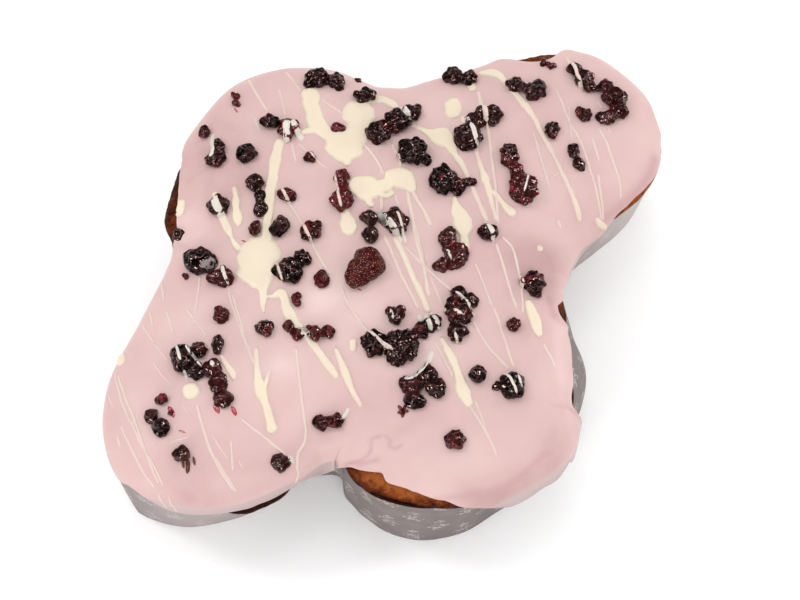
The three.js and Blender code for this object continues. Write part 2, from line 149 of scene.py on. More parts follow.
def openSpline(points, step):
    # a smooth line through the points, with places a step apart
    p = np.array(points, float)
    p = np.vstack([2 * p[0] - p[1], p, 2 * p[-1] - p[-2]])
    t = np.linspace(0, 1, form["splineSteps"][1], endpoint=False)[:, None]
    made = []
    for k in range(1, len(p) - 2):
        a, b, c, d = p[k - 1], p[k], p[k + 1], p[k + 2]
        square = 2 * a - 5 * b + 4 * c - d
        cube = 3 * b - a - 3 * c + d
        made.append(0.5 * (2 * b + (c - a) * t + square * t**2 + cube * t**3))
    line = np.vstack([*made, p[-2:-1]])
    walked = np.r_[0, np.cumsum(np.linalg.norm(np.diff(line[:, :3], axis=0), axis=1))]
    even = np.linspace(0, walked[-1], max(5, int(walked[-1] / step)))
    return np.stack([np.interp(even, walked, column) for column in line.T], axis=1), walked[-1]


def rounded(values, rounds):
    # evens out a closed row of values
    for _ in range(rounds):
        values = (np.roll(values, 1, 0) + 2 * values + np.roll(values, -1, 0)) / 4
    return values


rim, rimLength = closedSpline(form["rim"], form["around"])
rimPlace, run, swell = rim[:, :2], rim[:, 2], rim[:, 3]
ahead = np.roll(rimPlace, -2, 0) - np.roll(rimPlace, 2, 0)
outward = rounded(np.stack([ahead[:, 1], -ahead[:, 0]], axis=1), 4)
outward /= np.linalg.norm(outward, axis=1)[:, None]
shoulder = np.full(form["around"], form["shoulderRun"])
for x, y, reach, sharpRun in form["sharp"]:
    shoulder += (sharpRun - form["shoulderRun"]) * nearness(rimPlace, (x, y), reach)
onward = np.roll(outward, -3, 0)
turning = outward[:, 0] * onward[:, 1] - outward[:, 1] * onward[:, 0]
# the corners between tail, wings and head
hollow = rounded(smoothStep(-turning, *form["hollowTurn"]), form["hollowRounds"])
flank = smoothStep(abs(rimPlace[:, 0] - form["wingX"]), form["leanStart"], form["leanFull"])
inset = form["baseInset"] + form["flankLean"] * abs(outward[:, 1]) * flank
bulge = np.zeros(form["around"])
for x, y, reach, far in form["bulges"]:
    bulge += far * nearness(rimPlace, (x, y), reach)
caseLow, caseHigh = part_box("paper_case")
caseMiddle = np.array((caseLow + caseHigh) / 2)[:2] / mm
shift = np.append(caseMiddle - (rimPlace.min(0) + rimPlace.max(0)) / 2, 0)
print("rim of", round(rimLength), "mm, moved by", shift.round(2))


def rimDistance(places):
    # how far places lie inside the rim, and the rim sample nearest to each
    nearest = np.empty(len(places), int)
    batch = 4000  # keeps the table of distances small
    for start in range(0, len(places), batch):
        part = places[start:start + batch]
        square = ((part[:, None] - rimPlace[None]) ** 2).sum(2)
        nearest[start:start + batch] = square.argmin(1)
    away = places - rimPlace[nearest]
    inside = -(away * outward[nearest]).sum(1)
    far = np.linalg.norm(away, axis=1)
    return np.where(far > form["nearRim"], np.sign(inside) * far, inside), nearest


def crustHeight(places):
    distance, at = rimDistance(places)
    inwards = np.clip((distance + swell[at]) / shoulder[at], 0, 1)
    rounding = form["shoulderRise"] * np.sin(np.arccos(1 - inwards))
    dome = 1 - (places[:, 0] / form["domeLength"]) ** 2 - (places[:, 1] / form["domeWidth"]) ** 2
    rise = form["domeRise"] * dome * smoothStep(distance, 0, form["domeBlend"])
    return form["caseHeight"] + form["edgeRise"] + rounding + rise


def skinRing(walk, lift):
    # a ring on the crust's skin: walk is counted down from the rim, inwards when negative
    angle = np.clip(-walk / form["shoulderWalk"], 0, 1) * math.pi / 2
    beyond = np.maximum(0, -walk - form["shoulderWalk"])
    inwards = shoulder * (1 - np.cos(angle)) - swell + beyond
    places = rimPlace - outward * inwards[:, None]
    deep = smoothStep(-walk, *form["deepWalk"])[:, None]
    places += (rounded(places, form["evenRounds"]) - places) * deep
    side = form["caseHeight"] + form["edgeRise"] - walk
    height = np.where(walk > 0, side, crustHeight(places))
    places = places + outward * (lift * np.cos(angle))[:, None]
    bridged = np.minimum(1, form["hollowPull"] * hollow)[:, None]
    places += (rounded(places, form["bridgeRounds"]) - places) * bridged
    return np.column_stack([places, height + lift * np.sin(angle)])


def innerRing(outer, share, lift):
    # a ring between the shoulder's end and the middle of the cake
    places = outer[:, :2] * share
    return np.column_stack([places, crustHeight(places) + lift])


def wallRing(inwards, height):
    share = min(1, height / form["caseHeight"])
    lean = inset * (1 - share) ** form["leanCurve"] - bulge * (1 - share ** form["bulgeCurve"])
    places = rimPlace - outward * (inwards + lean)[:, None]
    return np.column_stack([places, np.full(len(places), height)])


waveForm = {
    "count": 7,
    "spread": (0.7, 1.5),    # lengths of the crossing waves against the one asked for
    "norm": 2.6,
    "fractal": (0.9, 2.1),   # how fast finer noise fades, and how much finer each layer is
}


def softWaves(places, length, seed):
    # gentle unevenness of about unit height, from crossing waves
    own = np.random.default_rng(seed)
    total = np.zeros(len(places))
    for _ in range(waveForm["count"]):
        turn, phase = own.uniform(0, 2 * math.pi, 2)
        reach = length * own.uniform(*waveForm["spread"])
        along = places[:, 0] * math.cos(turn) + places[:, 1] * math.sin(turn)
        total += np.sin(2 * math.pi * along / reach + phase)
    return total / waveForm["norm"]


def roughness(points, size, octaves):
    # noise whose lumps are about this many millimetres across
    return np.array([noise.fractal(Vector(p) / size, *waveForm["fractal"], octaves) for p in points])


def evened(verts, faces, rounds):
    # moves each vertex towards the middle of its neighbours
    pull = 0.6
    pairs = np.array([(f[k], f[k - 1]) for f in faces for k in range(len(f))])
    pairs = np.vstack([pairs, pairs[:, ::-1]])
    near = np.bincount(pairs[:, 0], minlength=len(verts))[:, None]
    for _ in range(rounds):
        total = np.stack([
            np.bincount(pairs[:, 0], verts[pairs[:, 1], k], len(verts)) for k in range(3)], axis=1)
        verts = (1 - pull) * verts + pull * total / near
    return verts


def loft(rings, start, end):
    # one closed skin: a first place, rings, and a last place
    n = len(rings[0])
    verts = np.vstack([np.reshape(start, (1, 3)), *rings, np.reshape(end, (1, 3))])
    here = np.arange(n)
    after = (here + 1) % n
    faces = [(0, b, a) for a, b in zip(1 + here, 1 + after)]
    for r in range(len(rings) - 1):
        low, high = 1 + r * n, 1 + (r + 1) * n
        faces += list(zip(low + here, low + after, high + after, high + here))
    last = 1 + (len(rings) - 1) * n
    faces += [(a, b, len(verts) - 1) for a, b in zip(last + here, last + after)]
    return verts, [tuple(int(c) for c in f) for f in faces]


def addPiece(name, verts, faces, material, nodes=(), values=None):
    mesh = bpy.data.meshes.new(name)
    mesh.from_pydata(((verts + shift) * mm).tolist(), [], faces)
    for key, row in (values or {}).items():
        mesh.attributes.new(key, "FLOAT", "POINT").data.foreach_set("value", np.asarray(row, np.float32))
    mesh.shade_smooth()
    mesh.materials.append(material)
    piece = bpy.data.objects.new(name, mesh)
    bpy.context.collection.objects.link(piece)
    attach(piece, "root")
    if nodes:
        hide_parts(*nodes)
    print(name, sum(len(f) - 2 for f in faces), "triangles")
    return piece


def tone(red, green, blue):
    # a colour as seen, in steps of 255
    seen = np.array([red, green, blue]) / 255
    linear = np.where(seen <= 0.04045, seen / 12.92, ((seen + 0.055) / 1.055) ** 2.4)
    return (*linear.tolist(), 1.0)


black = (0, 0, 0, 1)
white = (1, 1, 1, 1)


class Finish:
    # a material with its nodes close at hand
    def __init__(self, name, **sockets):
        self.material = bpy.data.materials.new(name)
        self.material.use_nodes = True
        self.tree = self.material.node_tree
        self.shader = self.tree.nodes["Principled BSDF"]
        for socket, value in sockets.items():
            self.shader.inputs[socket.replace("_", " ")].default_value = value

    def add(self, kind, sockets=None, **settings):
        node = self.tree.nodes.new(kind)
        for key, value in settings.items():
            setattr(node, key, value)
        for key, value in (sockets or {}).items():
            self.join(value, node.inputs[key])
        return node

    def join(self, value, socket):
        if isinstance(value, bpy.types.NodeSocket):
            self.tree.links.new(value, socket)
        else:
            socket.default_value = value

    def calc(self, operation, *values):
        node = self.tree.nodes.new("ShaderNodeMath")
        node.operation = operation
        for socket, value in zip(node.inputs, values):
            self.join(value, socket)
        return node.outputs[0]

    def place(self):
        return self.add("ShaderNodeTexCoord").outputs["Object"]

    def grain(self, size, detail=3.0, rough=0.5):
        # noise whose lumps are about this many millimetres across
        sockets = {"Vector": self.place(), "Scale": 1 / (size * mm), "Detail": detail, "Roughness": rough}
        return self.add("ShaderNodeTexNoise", sockets).outputs["Fac"]

    def value(self, name):
        return self.add("ShaderNodeAttribute", attribute_name=name).outputs["Fac"]

    def ramp(self, factor, *stops):
        node = self.add("ShaderNodeValToRGB", {"Fac": factor})
        while len(node.color_ramp.elements) < len(stops):
            node.color_ramp.elements.new(0.5)
        for element, (position, colour) in zip(node.color_ramp.elements, stops):
            element.position = position
            element.color = colour
        return node.outputs["Color"]

    def blend(self, factor, low, high):
        # the node has its sockets for colours after those for numbers and vectors
        node = self.add("ShaderNodeMix", data_type="RGBA")
        self.join(factor, node.inputs["Factor"])
        self.join(low, node.inputs[6])
        self.join(high, node.inputs[7])
        return node.outputs[2]

    def span(self, factor, low, high):
        sockets = {"Value": factor, "To Min": low, "To Max": high}
        return self.add("ShaderNodeMapRange", sockets).outputs["Result"]

    def bump(self, height, depth, strength=1.0):
        sockets = {"Height": height, "Distance": depth * mm, "Strength": strength}
        node = self.add("ShaderNodeBump", sockets)
        self.join(node.outputs["Normal"], self.shader.inputs["Normal"])

    def colour(self, socket):
        self.join(socket, self.shader.inputs["Base Color"])

    def gloss(self, socket):
        self.join(socket, self.shader.inputs["Roughness"])


# camera
cameraForm = bpy.data.cameras.new("camera")
cameraForm.sensor_width = view["sensor"]
cameraForm.lens = view["sensor"] * view["focal"] / view["size"][0]
camera = bpy.data.objects.new("camera", cameraForm)
bpy.context.collection.objects.link(camera)
bpy.context.scene.camera = camera
turnAngle, riseAngle = math.radians(view["azimuth"]), math.radians(view["elevation"])
viewBack = np.array([
    math.sin(turnAngle) * math.cos(riseAngle),
    -math.cos(turnAngle) * math.cos(riseAngle),
    math.sin(riseAngle),
])
viewRight = np.array([math.cos(turnAngle), math.sin(turnAngle), 0])
viewUp = np.cross(viewBack, viewRight)
eye = np.array(view["target"]) + view["distance"] * viewBack
camera.location = (eye + shift) * mm
camera.rotation_mode = "QUATERNION"
camera.rotation_quaternion = Vector(-viewBack).to_track_quat("-Z", "Y")


def pixelRay(x, y):
    # the direction in which the camera sees a pixel
    across = (x - view["size"][0] / 2) / view["focal"]
    down = (y - view["size"][1] / 2) / view["focal"]
    ray = viewRight * across - viewUp * down - viewBack
    return ray / np.linalg.norm(ray)


def onLevel(x, y, level):
    # the place that a pixel shows at this height
    ray = pixelRay(x, y)
    return (eye + ray * (level - eye[2]) / ray[2])[:2]


# paper case
paperLook = {
    "thickness": 1.0,
    "waviness": 0.22,        # unevenness of the wall
    "creaseSize": 14.0,
    "rimWander": 0.5,
    "rimRounds": 60,         # how softly the rim wanders
    "rings": 26,
    "innerSkip": 4,          # the inside has every fourth ring
    "footInset": 1.0,
    "ground": (125, 114, 112),
    "shade": (111, 101, 99),
    "print": (198, 190, 186),
    "pitch": (23.0, 16.0),   # of the rosettes along the wall and up it
    "petals": (6, 4),        # of the large and the small rosette
    "rosette": 4.6,
    "smaller": 0.5,
    "petalDepth": 0.28,
    "innerEdge": 0.55,
    "heart": 0.16,
    "line": 0.55,
    "thinner": 0.8,          # inner lines against outer ones
    "ink": 0.8,
    "bump": (0.12, 0.4),     # millimetres and strength
    # x, y, reach and strength of paler stretches: painted light where the wall is better lit
    "wearAndPaintedLight": [(115, -42, 40, 1.0), (-125, -38, 40, 0.64)],
    # paper colour where that painted light makes the wall paler
    "paintedLitPaper": (180, 169, 167),
}


def paperFinish():
    look = paperLook
    finish = Finish("bakingPaper", Roughness=0.62, Specular_IOR_Level=0.2)
    uv = finish.add("ShaderNodeUVMap", uv_map="wall").outputs["UV"]
    part = finish.add("ShaderNodeSeparateXYZ", {"Vector": uv})
    calc = finish.calc

    def rosettes(slide, reach, petals, width):
        # an open flower in each cell of a staggered grid
        pitchX, pitchY = look["pitch"]
        row = calc("ADD", calc("DIVIDE", part.outputs[1], pitchY), slide)
        odd = calc("MULTIPLY", calc("PINGPONG", calc("FLOOR", row), 1.0), 0.5)
        column = calc("ADD", calc("ADD", calc("DIVIDE", part.outputs[0], pitchX), odd), slide)
        x = calc("MULTIPLY", calc("SUBTRACT", calc("FRACT", column), 0.5), pitchX)
        y = calc("MULTIPLY", calc("SUBTRACT", calc("FRACT", row), 0.5), pitchY)
        far = calc("SQRT", calc("ADD", calc("MULTIPLY", x, x), calc("MULTIPLY", y, y)))
        wave = calc("COSINE", calc("MULTIPLY", calc("ARCTAN2", y, x), petals))
        edge = calc("MULTIPLY_ADD", wave, reach * look["petalDepth"], reach * (1 - look["petalDepth"]))
        outer = calc("COMPARE", far, edge, width)
        inner = calc("COMPARE", far, calc("MULTIPLY", edge, look["innerEdge"]), width * look["thinner"])
        heart = calc("LESS_THAN", far, reach * look["heart"])
        return calc("MAXIMUM", calc("MAXIMUM", outer, inner), heart)

    many, few = look["petals"]
    large = rosettes(0.0, look["rosette"], many, look["line"])
    small = rosettes(0.5, look["rosette"] * look["smaller"], few, look["line"] * look["thinner"])
    # here the mask only breaks up the print, as real wear
    wearAndPaintedLight = finish.ramp(finish.grain(2.2, 4), (0.42, black), (0.6, white))
    ink = calc("MULTIPLY", calc("MAXIMUM", large, small), wearAndPaintedLight)
    ground = finish.ramp(
        finish.grain(9, 5), (0.3, tone(*look["shade"])), (0.7, tone(*look["ground"])))
    # painted light: the wall paler where it is better lit
    ground = finish.blend(finish.value("paintedLitPaper"), ground, tone(*look["paintedLitPaper"]))
    finish.colour(finish.blend(calc("MULTIPLY", ink, look["ink"]), ground, tone(*look["print"])))
    finish.bump(finish.grain(0.5, 4), *look["bump"])
    return finish.material


def makePaper():
    look = paperLook
    height = form["caseHeight"]
    heights = np.linspace(1.0, height, look["rings"])
    wave = rounded(dice.normal(0, 1, form["around"]), look["rimRounds"])
    wave *= look["rimWander"] / abs(wave).max()

    def wall(inwards, level):
        ring = wallRing(inwards, level)
        lift = level / height
        spots = np.column_stack([ring[:, :2], np.full(len(ring), level * 0.3)])
        crease = roughness(spots, look["creaseSize"], 3)
        ring[:, :2] += outward * (look["waviness"] * crease * (0.3 + lift))[:, None]
        ring[:, 2] += wave * lift ** 6
        return ring

    rings = [wallRing(look["footInset"], 0.0)]
    rings += [wall(0, level) for level in heights]
    rings += [wall(look["thickness"], level) for level in heights[::-look["innerSkip"]]]
    rings += [wallRing(look["thickness"], form["caseFloor"])]
    verts, faces = loft(rings, (0, 0, 0), (0, 0, form["caseFloor"]))
    # painted light: paler stretches of the wall
    paintedLitPaper = np.zeros(len(verts))
    for x, y, reach, strength in look["wearAndPaintedLight"]:
        paintedLitPaper += strength * nearness(verts, (x, y), reach)
    piece = addPiece("paperWall", verts, faces, paperFinish(), ["paper_case"], {"paintedLitPaper": paintedLitPaper})
    # the print is laid out along the wall and up it, in millimetres
    layer = piece.data.uv_layers.new(name="wall")
    corner = np.empty(len(piece.data.loops), int)
    piece.data.loops.foreach_get("vertex_index", corner)
    around = (corner - 1) % form["around"]
    polygons = piece.data.polygons
    start = np.repeat([p.loop_start for p in polygons], [p.loop_total for p in polygons])
    wrapped = (around == 0) & (around[start] > form["around"] / 2)
    around = np.where(wrapped, form["around"], around)
    cells = round(rimLength / look["pitch"][0])
    u = around / form["around"] * cells * look["pitch"][0]
    layer.data.foreach_set("uv", np.column_stack([u, verts[corner, 2]]).astype(np.float32).ravel())


# browned cake
crustLook = {
    "relief": 0.5,
    "reliefSize": 7.0,
    "walks": 26,
    "innerShares": (0.8, 0.5, 0.25),
    "golden": (147, 79, 31),
    "brown": (94, 38, 9),
    "dark": (38, 9, 1),
    "baked": 0.95,           # outside the golden stretches
    "spots": (3.0, 1.6),     # size and strength of darker and paler spots
    "gloss": (0.4, 0.65),
    "bump": (0.5, 0.6),
    "climb": 7.0,            # a golden stretch changes over this height
    # x, y and reach of golden stretches, and how golden they are at the rim and above it; darker low by the
    # paper: partly a toasted line, partly painted shade
    "patches": [(-62, -88, 34, 0.0, 0.9), (118, -39, 36, 0.75, 0.85), (118, 42, 26, 0.3, 0.5),
                (53, -61, 14, 0.3, 0.42), (-62, 70, 22, 0.1, 0.4)],
    # x, y and reach of the stretch that hangs over the paper, and how far below the icing
    "lip": (-106, -43.5, 18, 9.5),
    "lipSwell": 3.2,
    "lipEnds": 0.02,
    "tuck": 0.8,             # elsewhere the crust's edge hangs this far
    # round the edge from below: share of the swell, share of the drop
    "profile": [(0.15, 0.93), (0.5, 1.0), (0.85, 0.98), (1.0, 0.9), (0.97, 0.8), (0.6, 0.66), (0.5, 0.2)],
}


def crustFinish():
    look = crustLook
    finish = Finish("brownedCrust", Specular_IOR_Level=0.04)
    baked = finish.value("baked")
    size, strength = look["spots"]
    spots = finish.calc("MULTIPLY_ADD", finish.grain(size, 5, 0.7), strength, -strength / 2)
    share = finish.calc("ADD", baked, spots)
    finish.colour(finish.ramp(
        share, (0.1, tone(*look["golden"])), (0.5, tone(*look["brown"])), (0.9, tone(*look["dark"]))))
    finish.gloss(finish.span(finish.grain(2, 3), *look["gloss"]))
    finish.bump(finish.grain(1.1, 5, 0.6), *look["bump"])
    return finish.material


def makeCake(edgeRun):
    look = crustLook
    wall = form["paper"] + form["gap"]
    top = form["caseHeight"]
    x, y, reach, low = look["lip"]
    lip = nearness(rimPlace, (x, y), reach, 2)
    hang = look["tuck"] + lip * (low + np.maximum(edgeRun, 0))
    lipSwell = swell + look["lipSwell"] * lip
    flat = np.zeros(form["around"])
    floor = form["caseFloor"] + form["gap"]
    rings = [wallRing(wall + 1, floor)]
    rings += [wallRing(wall, level) for level in (floor + 1, 0.45 * top, top - 8, top - 3)]
    rings += [wallRing(wall, top + form["gap"]), wallRing(-0.2, top + form["gap"])]
    for share, drop in look["profile"]:
        ring = skinRing(flat, flat)
        shown = np.where(lip > look["lipEnds"], lipSwell * share, swell * min(1, share * 2))
        ring[:, :2] += outward * (shown - swell)[:, None]
        ring[:, 2] -= hang * drop
        rings.append(ring)
    skinStart = len(rings)
    for walk in np.linspace(0, -form["shoulderWalk"], look["walks"]):
        rings.append(skinRing(np.full(form["around"], walk), flat))
    last = rings[-1]
    rings += [innerRing(last, share, 0) for share in look["innerShares"]]
    relief = look["relief"] * roughness(np.vstack(rings), look["reliefSize"], 5)
    relief = relief.reshape(len(rings), -1)
    for r in range(skinStart - 5, skinStart + look["walks"]):  # from the lip's fullest ring upwards
        rings[r][:, :2] += outward * relief[r][:, None]
        rings[r][:, 2] += relief[r]
    verts, faces = loft(rings, (0, 0, floor), (0, 0, crustHeight(np.zeros((1, 2)))[0]))
    golden = np.zeros(len(verts))
    # less golden low down by the paper's rim: partly toasted crust, partly painted shade
    climb = smoothStep(verts[:, 2], top, top + look["climb"])
    for x, y, reach, low, high in look["patches"]:
        golden += nearness(verts, (x, y), reach) * (low + (high - low) * climb)
    values = {"baked": look["baked"] - golden}
    addPiece("crust", verts, faces, crustFinish(), ["cake"], values)


# icing
icingLook = {
    "thickness": 2.5,
    "bead": 0.25,             # extra thickness towards the lower edge
    "beadReach": 4.0,
    "edgeWander": 0.9,
    # pixels along the icing's edge where it shows
    "edges": {
        "nearWing": [
            (350, 467), (357, 470), (370, 471.5), (383, 472), (386, 483), (393, 485), (418, 494), (438, 501),
            (449, 502), (457, 506), (468, 508), (501, 507), (515, 505), (532, 496), (543, 488), (558, 479),
            (568, 464), (573, 453),
        ],
        "tail": [
            (126, 484), (142, 495), (159, 505), (171, 511), (180, 513), (194, 515), (211, 514.5), (225, 513),
            (236, 511), (250, 508), (262, 503), (270, 500), (280, 495), (290, 489), (300, 483), (310, 478),
            (322, 474.5), (330, 472.5), (338, 470), (347, 467),
        ],
        "farWing": [(181, 163), (178, 177), (177, 194), (177, 206), (177, 223), (177, 238), (181, 248)],
        "nearWingSide": [
            (558, 302), (559, 310), (563, 318), (567, 325), (571, 331), (571, 347), (572, 361), (573, 381),
            (572, 402), (577, 413),
        ],
    },
    "edgeRange": (30.0, -22.0),
    "edgeSteps": 97,
    "edgeLift": 1.15,         # the edge that shows lies this many thicknesses above the crust
    "edgeRounds": (10, 2, 30),  # how softly it wanders, is read, and blends into what doesn't show
    "lipRound": 0.46,         # radius of the rounded edge, against the thickness
    "lipAngles": (-70, -35, 0, 35, 65),
    "underWalk": (8.0, 2.5),  # rings of the underside, inwards from the rim and from the edge
    "sideRings": 9,
    "drapeWalk": (-2.5, 0.5),  # where the side begins to hang, and where it fully does
    "topStart": 2.8,
    "unevenWalk": (2, 10),    # where the unevenness begins, and where it is full
    "shoulderRings": 26,
    "innerRings": 46,
    "evening": 10,
    "evenRings": (9, 12),     # the first shoulder ring that is evened, and over how many it sets in
    # folds and low ridges: width, height, how deep their painted crease shade is, then pixels along each
    "folds": [
        (1.4, -0.4, 0.8, (358, 466), (366, 464.5), (377, 462.5)),
        (1.0, -0.22, 0.75, (346, 463.5), (358, 462), (366, 458.5), (371, 453), (371.5, 445), (374, 441),
         (380, 440)),
        (1.0, -0.22, 0.75, (386, 440), (390, 444), (389.5, 450), (396, 452), (401, 449)),
        (2.0, -0.4, 0.6, (549, 300), (551, 308), (554, 316)),
        (2.4, 0.5, 0.0, (439, 497), (470, 494), (502, 489), (516, 480), (529, 470)),
        (2.6, 0.4, 0.0, (511, 478), (540, 456), (571, 426)),
        (1.4, -0.1, 0.5, (436, 499), (455, 497), (480, 494), (502, 489), (516, 480), (529, 470), (545, 455)),
        (2.6, 0.4, 0.0, (210, 511), (222, 503), (247, 496), (266, 492), (285, 481)),
        (3.0, -0.4, 0.3, (425, 418), (412, 428), (396, 440)),
        (3.2, 0.35, 0.0, (585, 235), (575, 244), (560, 250)),
        (2.8, -0.6, 0.8, (655, 160), (650, 174), (640, 188), (628, 200), (616, 210), (608, 216)),
        (1.0, -0.1, 0.4, (190, 183), (205, 174), (222, 162), (231, 154)),
    ],
    "foldLevel": 68.0,        # height at which these pixels are read
    # a fold's colour is painted shade in its crease
    "creased": 0.9,           # the deepest a fold's colour gets
    "swells": (0.45, 46.0),   # height and length of the soft unevenness
    "ripples": (0.12, 13.0),
    "pink": (208, 177, 174),
    "paler": (213, 184, 180),
    "deeper": (203, 170, 168),
    # the ramp's ends, reached mostly through the painted light and painted shade below
    "paintedLightPink": (224, 197, 194),
    "paintedShadePink": (186, 151, 149),
    # pixel, reach and strength of painted light on the icing: paler stretches of painted light and sheen,
    # deeper ones of painted shade when negative
    "stretches": [
        ((195, 178), 26, -0.28), ((620, 80), 30, -0.06), ((541, 262), 13, -0.42), ((420, 95), 26, 0.2),
        ((470, 470), 24, 0.2), ((470, 501), 8, -0.5), ((535, 400), 26, -0.12), ((190, 482), 20, -0.34),
        ((495, 498), 8, -0.4), ((520, 487), 9, -0.4), ((545, 466), 10, -0.28), ((563, 444), 10, -0.15),
        ((330, 310), 30, 0.1), ((500, 282), 24, -0.22), ((520, 230), 20, -0.1), ((390, 430), 24, -0.2),
        ((220, 110), 24, -0.14), ((310, 309), 8, 0.2), ((322, 300), 6, 0.18), ((322, 318), 6, 0.12),
        ((285, 370), 7, 0.28), ((255, 336), 5, 0.2), ((239, 296), 4, 0.25), ((468, 452), 10, 0.12),
    ],
    # painted shade along the creases of the folds
    "crease": (190, 152, 153),
    # painted shade: darker, greyer pink on the side that hangs down
    "shadedDrape": (186, 164, 162),  # the side that hangs down
    "gloss": (0.3, 0.42),
    "bump": (0.1, 0.35),
}


def icingFinish():
    look = icingLook
    finish = Finish(
        "pinkIcing", Subsurface_Weight=0.12, Subsurface_Scale=0.004,
        Subsurface_Radius=(1.0, 0.55, 0.45), Specular_IOR_Level=0.07)
    # random mottling plus the painted light and shade of the stretches
    cloud = finish.calc("ADD", finish.grain(38, 4, 0.55), finish.value("stretch"))
    body = finish.ramp(
        cloud, (0.0, tone(*look["paintedShadePink"])), (0.3, tone(*look["deeper"])), (0.5, tone(*look["pink"])),
        (0.72, tone(*look["paler"])), (1.0, tone(*look["paintedLightPink"])))
    # painted shade in the folds
    body = finish.blend(finish.value("crease"), body, tone(*look["crease"]))
    # painted shade on the hanging side
    finish.colour(finish.blend(finish.value("shadedDrape"), body, tone(*look["shadedDrape"])))
    finish.gloss(finish.span(finish.grain(16, 3), *look["gloss"]))
    finish.bump(finish.grain(6, 3), *look["bump"])
    return finish.material


def edgeFromPixels():
    # the icing's run round the rim, read from the pixels where its edge shows
    look = icingLook
    n = form["around"]
    walks = np.linspace(*look["edgeRange"], look["edgeSteps"])
    wanderRounds, readRounds, blendRounds = look["edgeRounds"]
    lift = np.full(n, form["gap"] + look["thickness"] * look["edgeLift"])
    skin = np.vstack([skinRing(np.full(n, walk), lift) for walk in walks])
    here = np.arange(n)
    after = (here + 1) % n
    faces = []
    for low in range(0, (len(walks) - 1) * n, n):
        high = low + n
        faces += np.stack([low + here, low + after, high + after, high + here], 1).tolist()
    tree = BVHTree.FromPolygons(skin.tolist(), faces)
    wander = rounded(dice.normal(0, 1, n), wanderRounds)
    free = run + look["edgeWander"] * wander / abs(wander).max()
    read, known = free.copy(), np.zeros(n)
    for pixels in look["edges"].values():
        line, _ = openSpline(pixels, 1.0)
        hits = [tree.ray_cast(Vector(eye), Vector(pixelRay(*p))) for p in line]
        rows = sorted((hit[2] % n, walks[hit[2] // n]) for hit in hits if hit[0] is not None)
        at, walk = np.array(rows).T
        span = np.arange(int(at.min()), int(at.max()) + 1)
        read[span] = np.interp(span, at, walk)
        known[span] = 1
    weight = rounded(known, blendRounds)
    spread = rounded(np.where(known > 0, read, 0), blendRounds) / np.maximum(weight, 1e-6)
    read = np.where(known > 0, rounded(read, readRounds), spread)
    return free + (read - free) * smoothStep(weight + 0.5 * known, 0, 0.9)


def foldHeight(places, creased=False):
    # soft folds and ridges along lines read from the photograph, or how much painted crease shade the icing
    # gets
    total = np.zeros(len(places))
    for width, height, deep, *pixels in icingLook["folds"]:
        line, _ = openSpline([onLevel(*p, icingLook["foldLevel"]) for p in pixels], 1.0)
        far = ((places[:, None] - line[None]) ** 2).sum(2).min(1)
        total += (deep if creased else height) * np.exp(-far / width ** 2)
    return total


def makeIcing(edgeRun):
    look = icingLook
    gap, thick = form["gap"], look["thickness"]
    hang, short = np.maximum(edgeRun, 0), np.minimum(edgeRun, 0)
    radius = thick * look["lipRound"]

    def lifted(walk, edge):
        return gap + thick * (1 + look["bead"] * np.exp(-((walk - edge) / look["beadReach"]) ** 2))

    def uneven(ring):
        places = ring[:, :2]
        tall, length = look["swells"]
        low, fine = look["ripples"]
        waves = tall * softWaves(places, length, 5) + low * softWaves(places, fine, 8)
        return waves + foldHeight(places)

    edge = hang + short
    rings, shadedDrape = [], []
    flat = np.full(form["around"], gap)
    underside = skinRing(short - form["shoulderWalk"], flat)
    rings += [innerRing(underside, 0.5, gap), underside]
    fromRim, fromEdge = look["underWalk"]
    rings += [skinRing(short - fromRim, flat), skinRing(edge - fromEdge, flat + 0.1)]
    for angle in np.radians(look["lipAngles"]):
        rings.append(skinRing(edge + radius * (math.cos(angle) - 1), flat + radius * (1 + math.sin(angle))))
    for share in np.linspace(1, 0, look["sideRings"]):
        walk = hang * share + short - 1.0 - (1 - share)
        rings.append(skinRing(walk, lifted(walk, edge)))
        shadedDrape.append(smoothStep(walk, *look["drapeWalk"]))
    shadedDrape = [shadedDrape[0]] * (len(rings) - len(shadedDrape)) + shadedDrape
    for back in np.linspace(look["topStart"], form["shoulderWalk"], look["shoulderRings"]):
        walk = short - back
        lift = lifted(walk, edge) + uneven(rings[-1]) * smoothStep(back, *look["unevenWalk"])
        rings.append(skinRing(walk, lift))
    outer = rings[-1]
    for share in np.linspace(1, 0, look["innerRings"] + 1)[1:-1]:
        ring = innerRing(outer, share, gap + thick)
        ring[:, 2] += uneven(ring)
        rings.append(ring)
    middle = np.zeros((1, 3))
    peak = crustHeight(middle[:, :2])[0] + gap
    verts, faces = loft(rings, (0, 0, peak), (0, 0, peak + thick + uneven(middle)[0]))
    skipped, over = look["evenRings"]
    first = len(rings) - look["innerRings"] - look["shoulderRings"] + skipped
    share = smoothStep(np.arange(len(rings)), first, first + over)
    share = np.r_[0, np.repeat(share, form["around"]), 1]
    verts[:, 2] += share * (evened(verts, faces, look["evening"])[:, 2] - verts[:, 2])
    shadedDrape += [np.zeros(form["around"])] * (len(rings) - len(shadedDrape))
    # painted shade along the folds
    crease = np.clip(foldHeight(verts[:, :2], True), 0, look["creased"])
    # painted light and shade, stretch by stretch
    stretch = np.zeros(len(verts))
    for pixel, reach, strength in look["stretches"]:
        stretch += strength * nearness(verts, onLevel(*pixel, look["foldLevel"]), reach)
    values = {"shadedDrape": np.r_[0, np.concatenate(shadedDrape), 0], "crease": crease, "stretch": stretch}
    addPiece("icingSkin", verts, faces, icingFinish(), ["icing"], values)
    return verts, faces


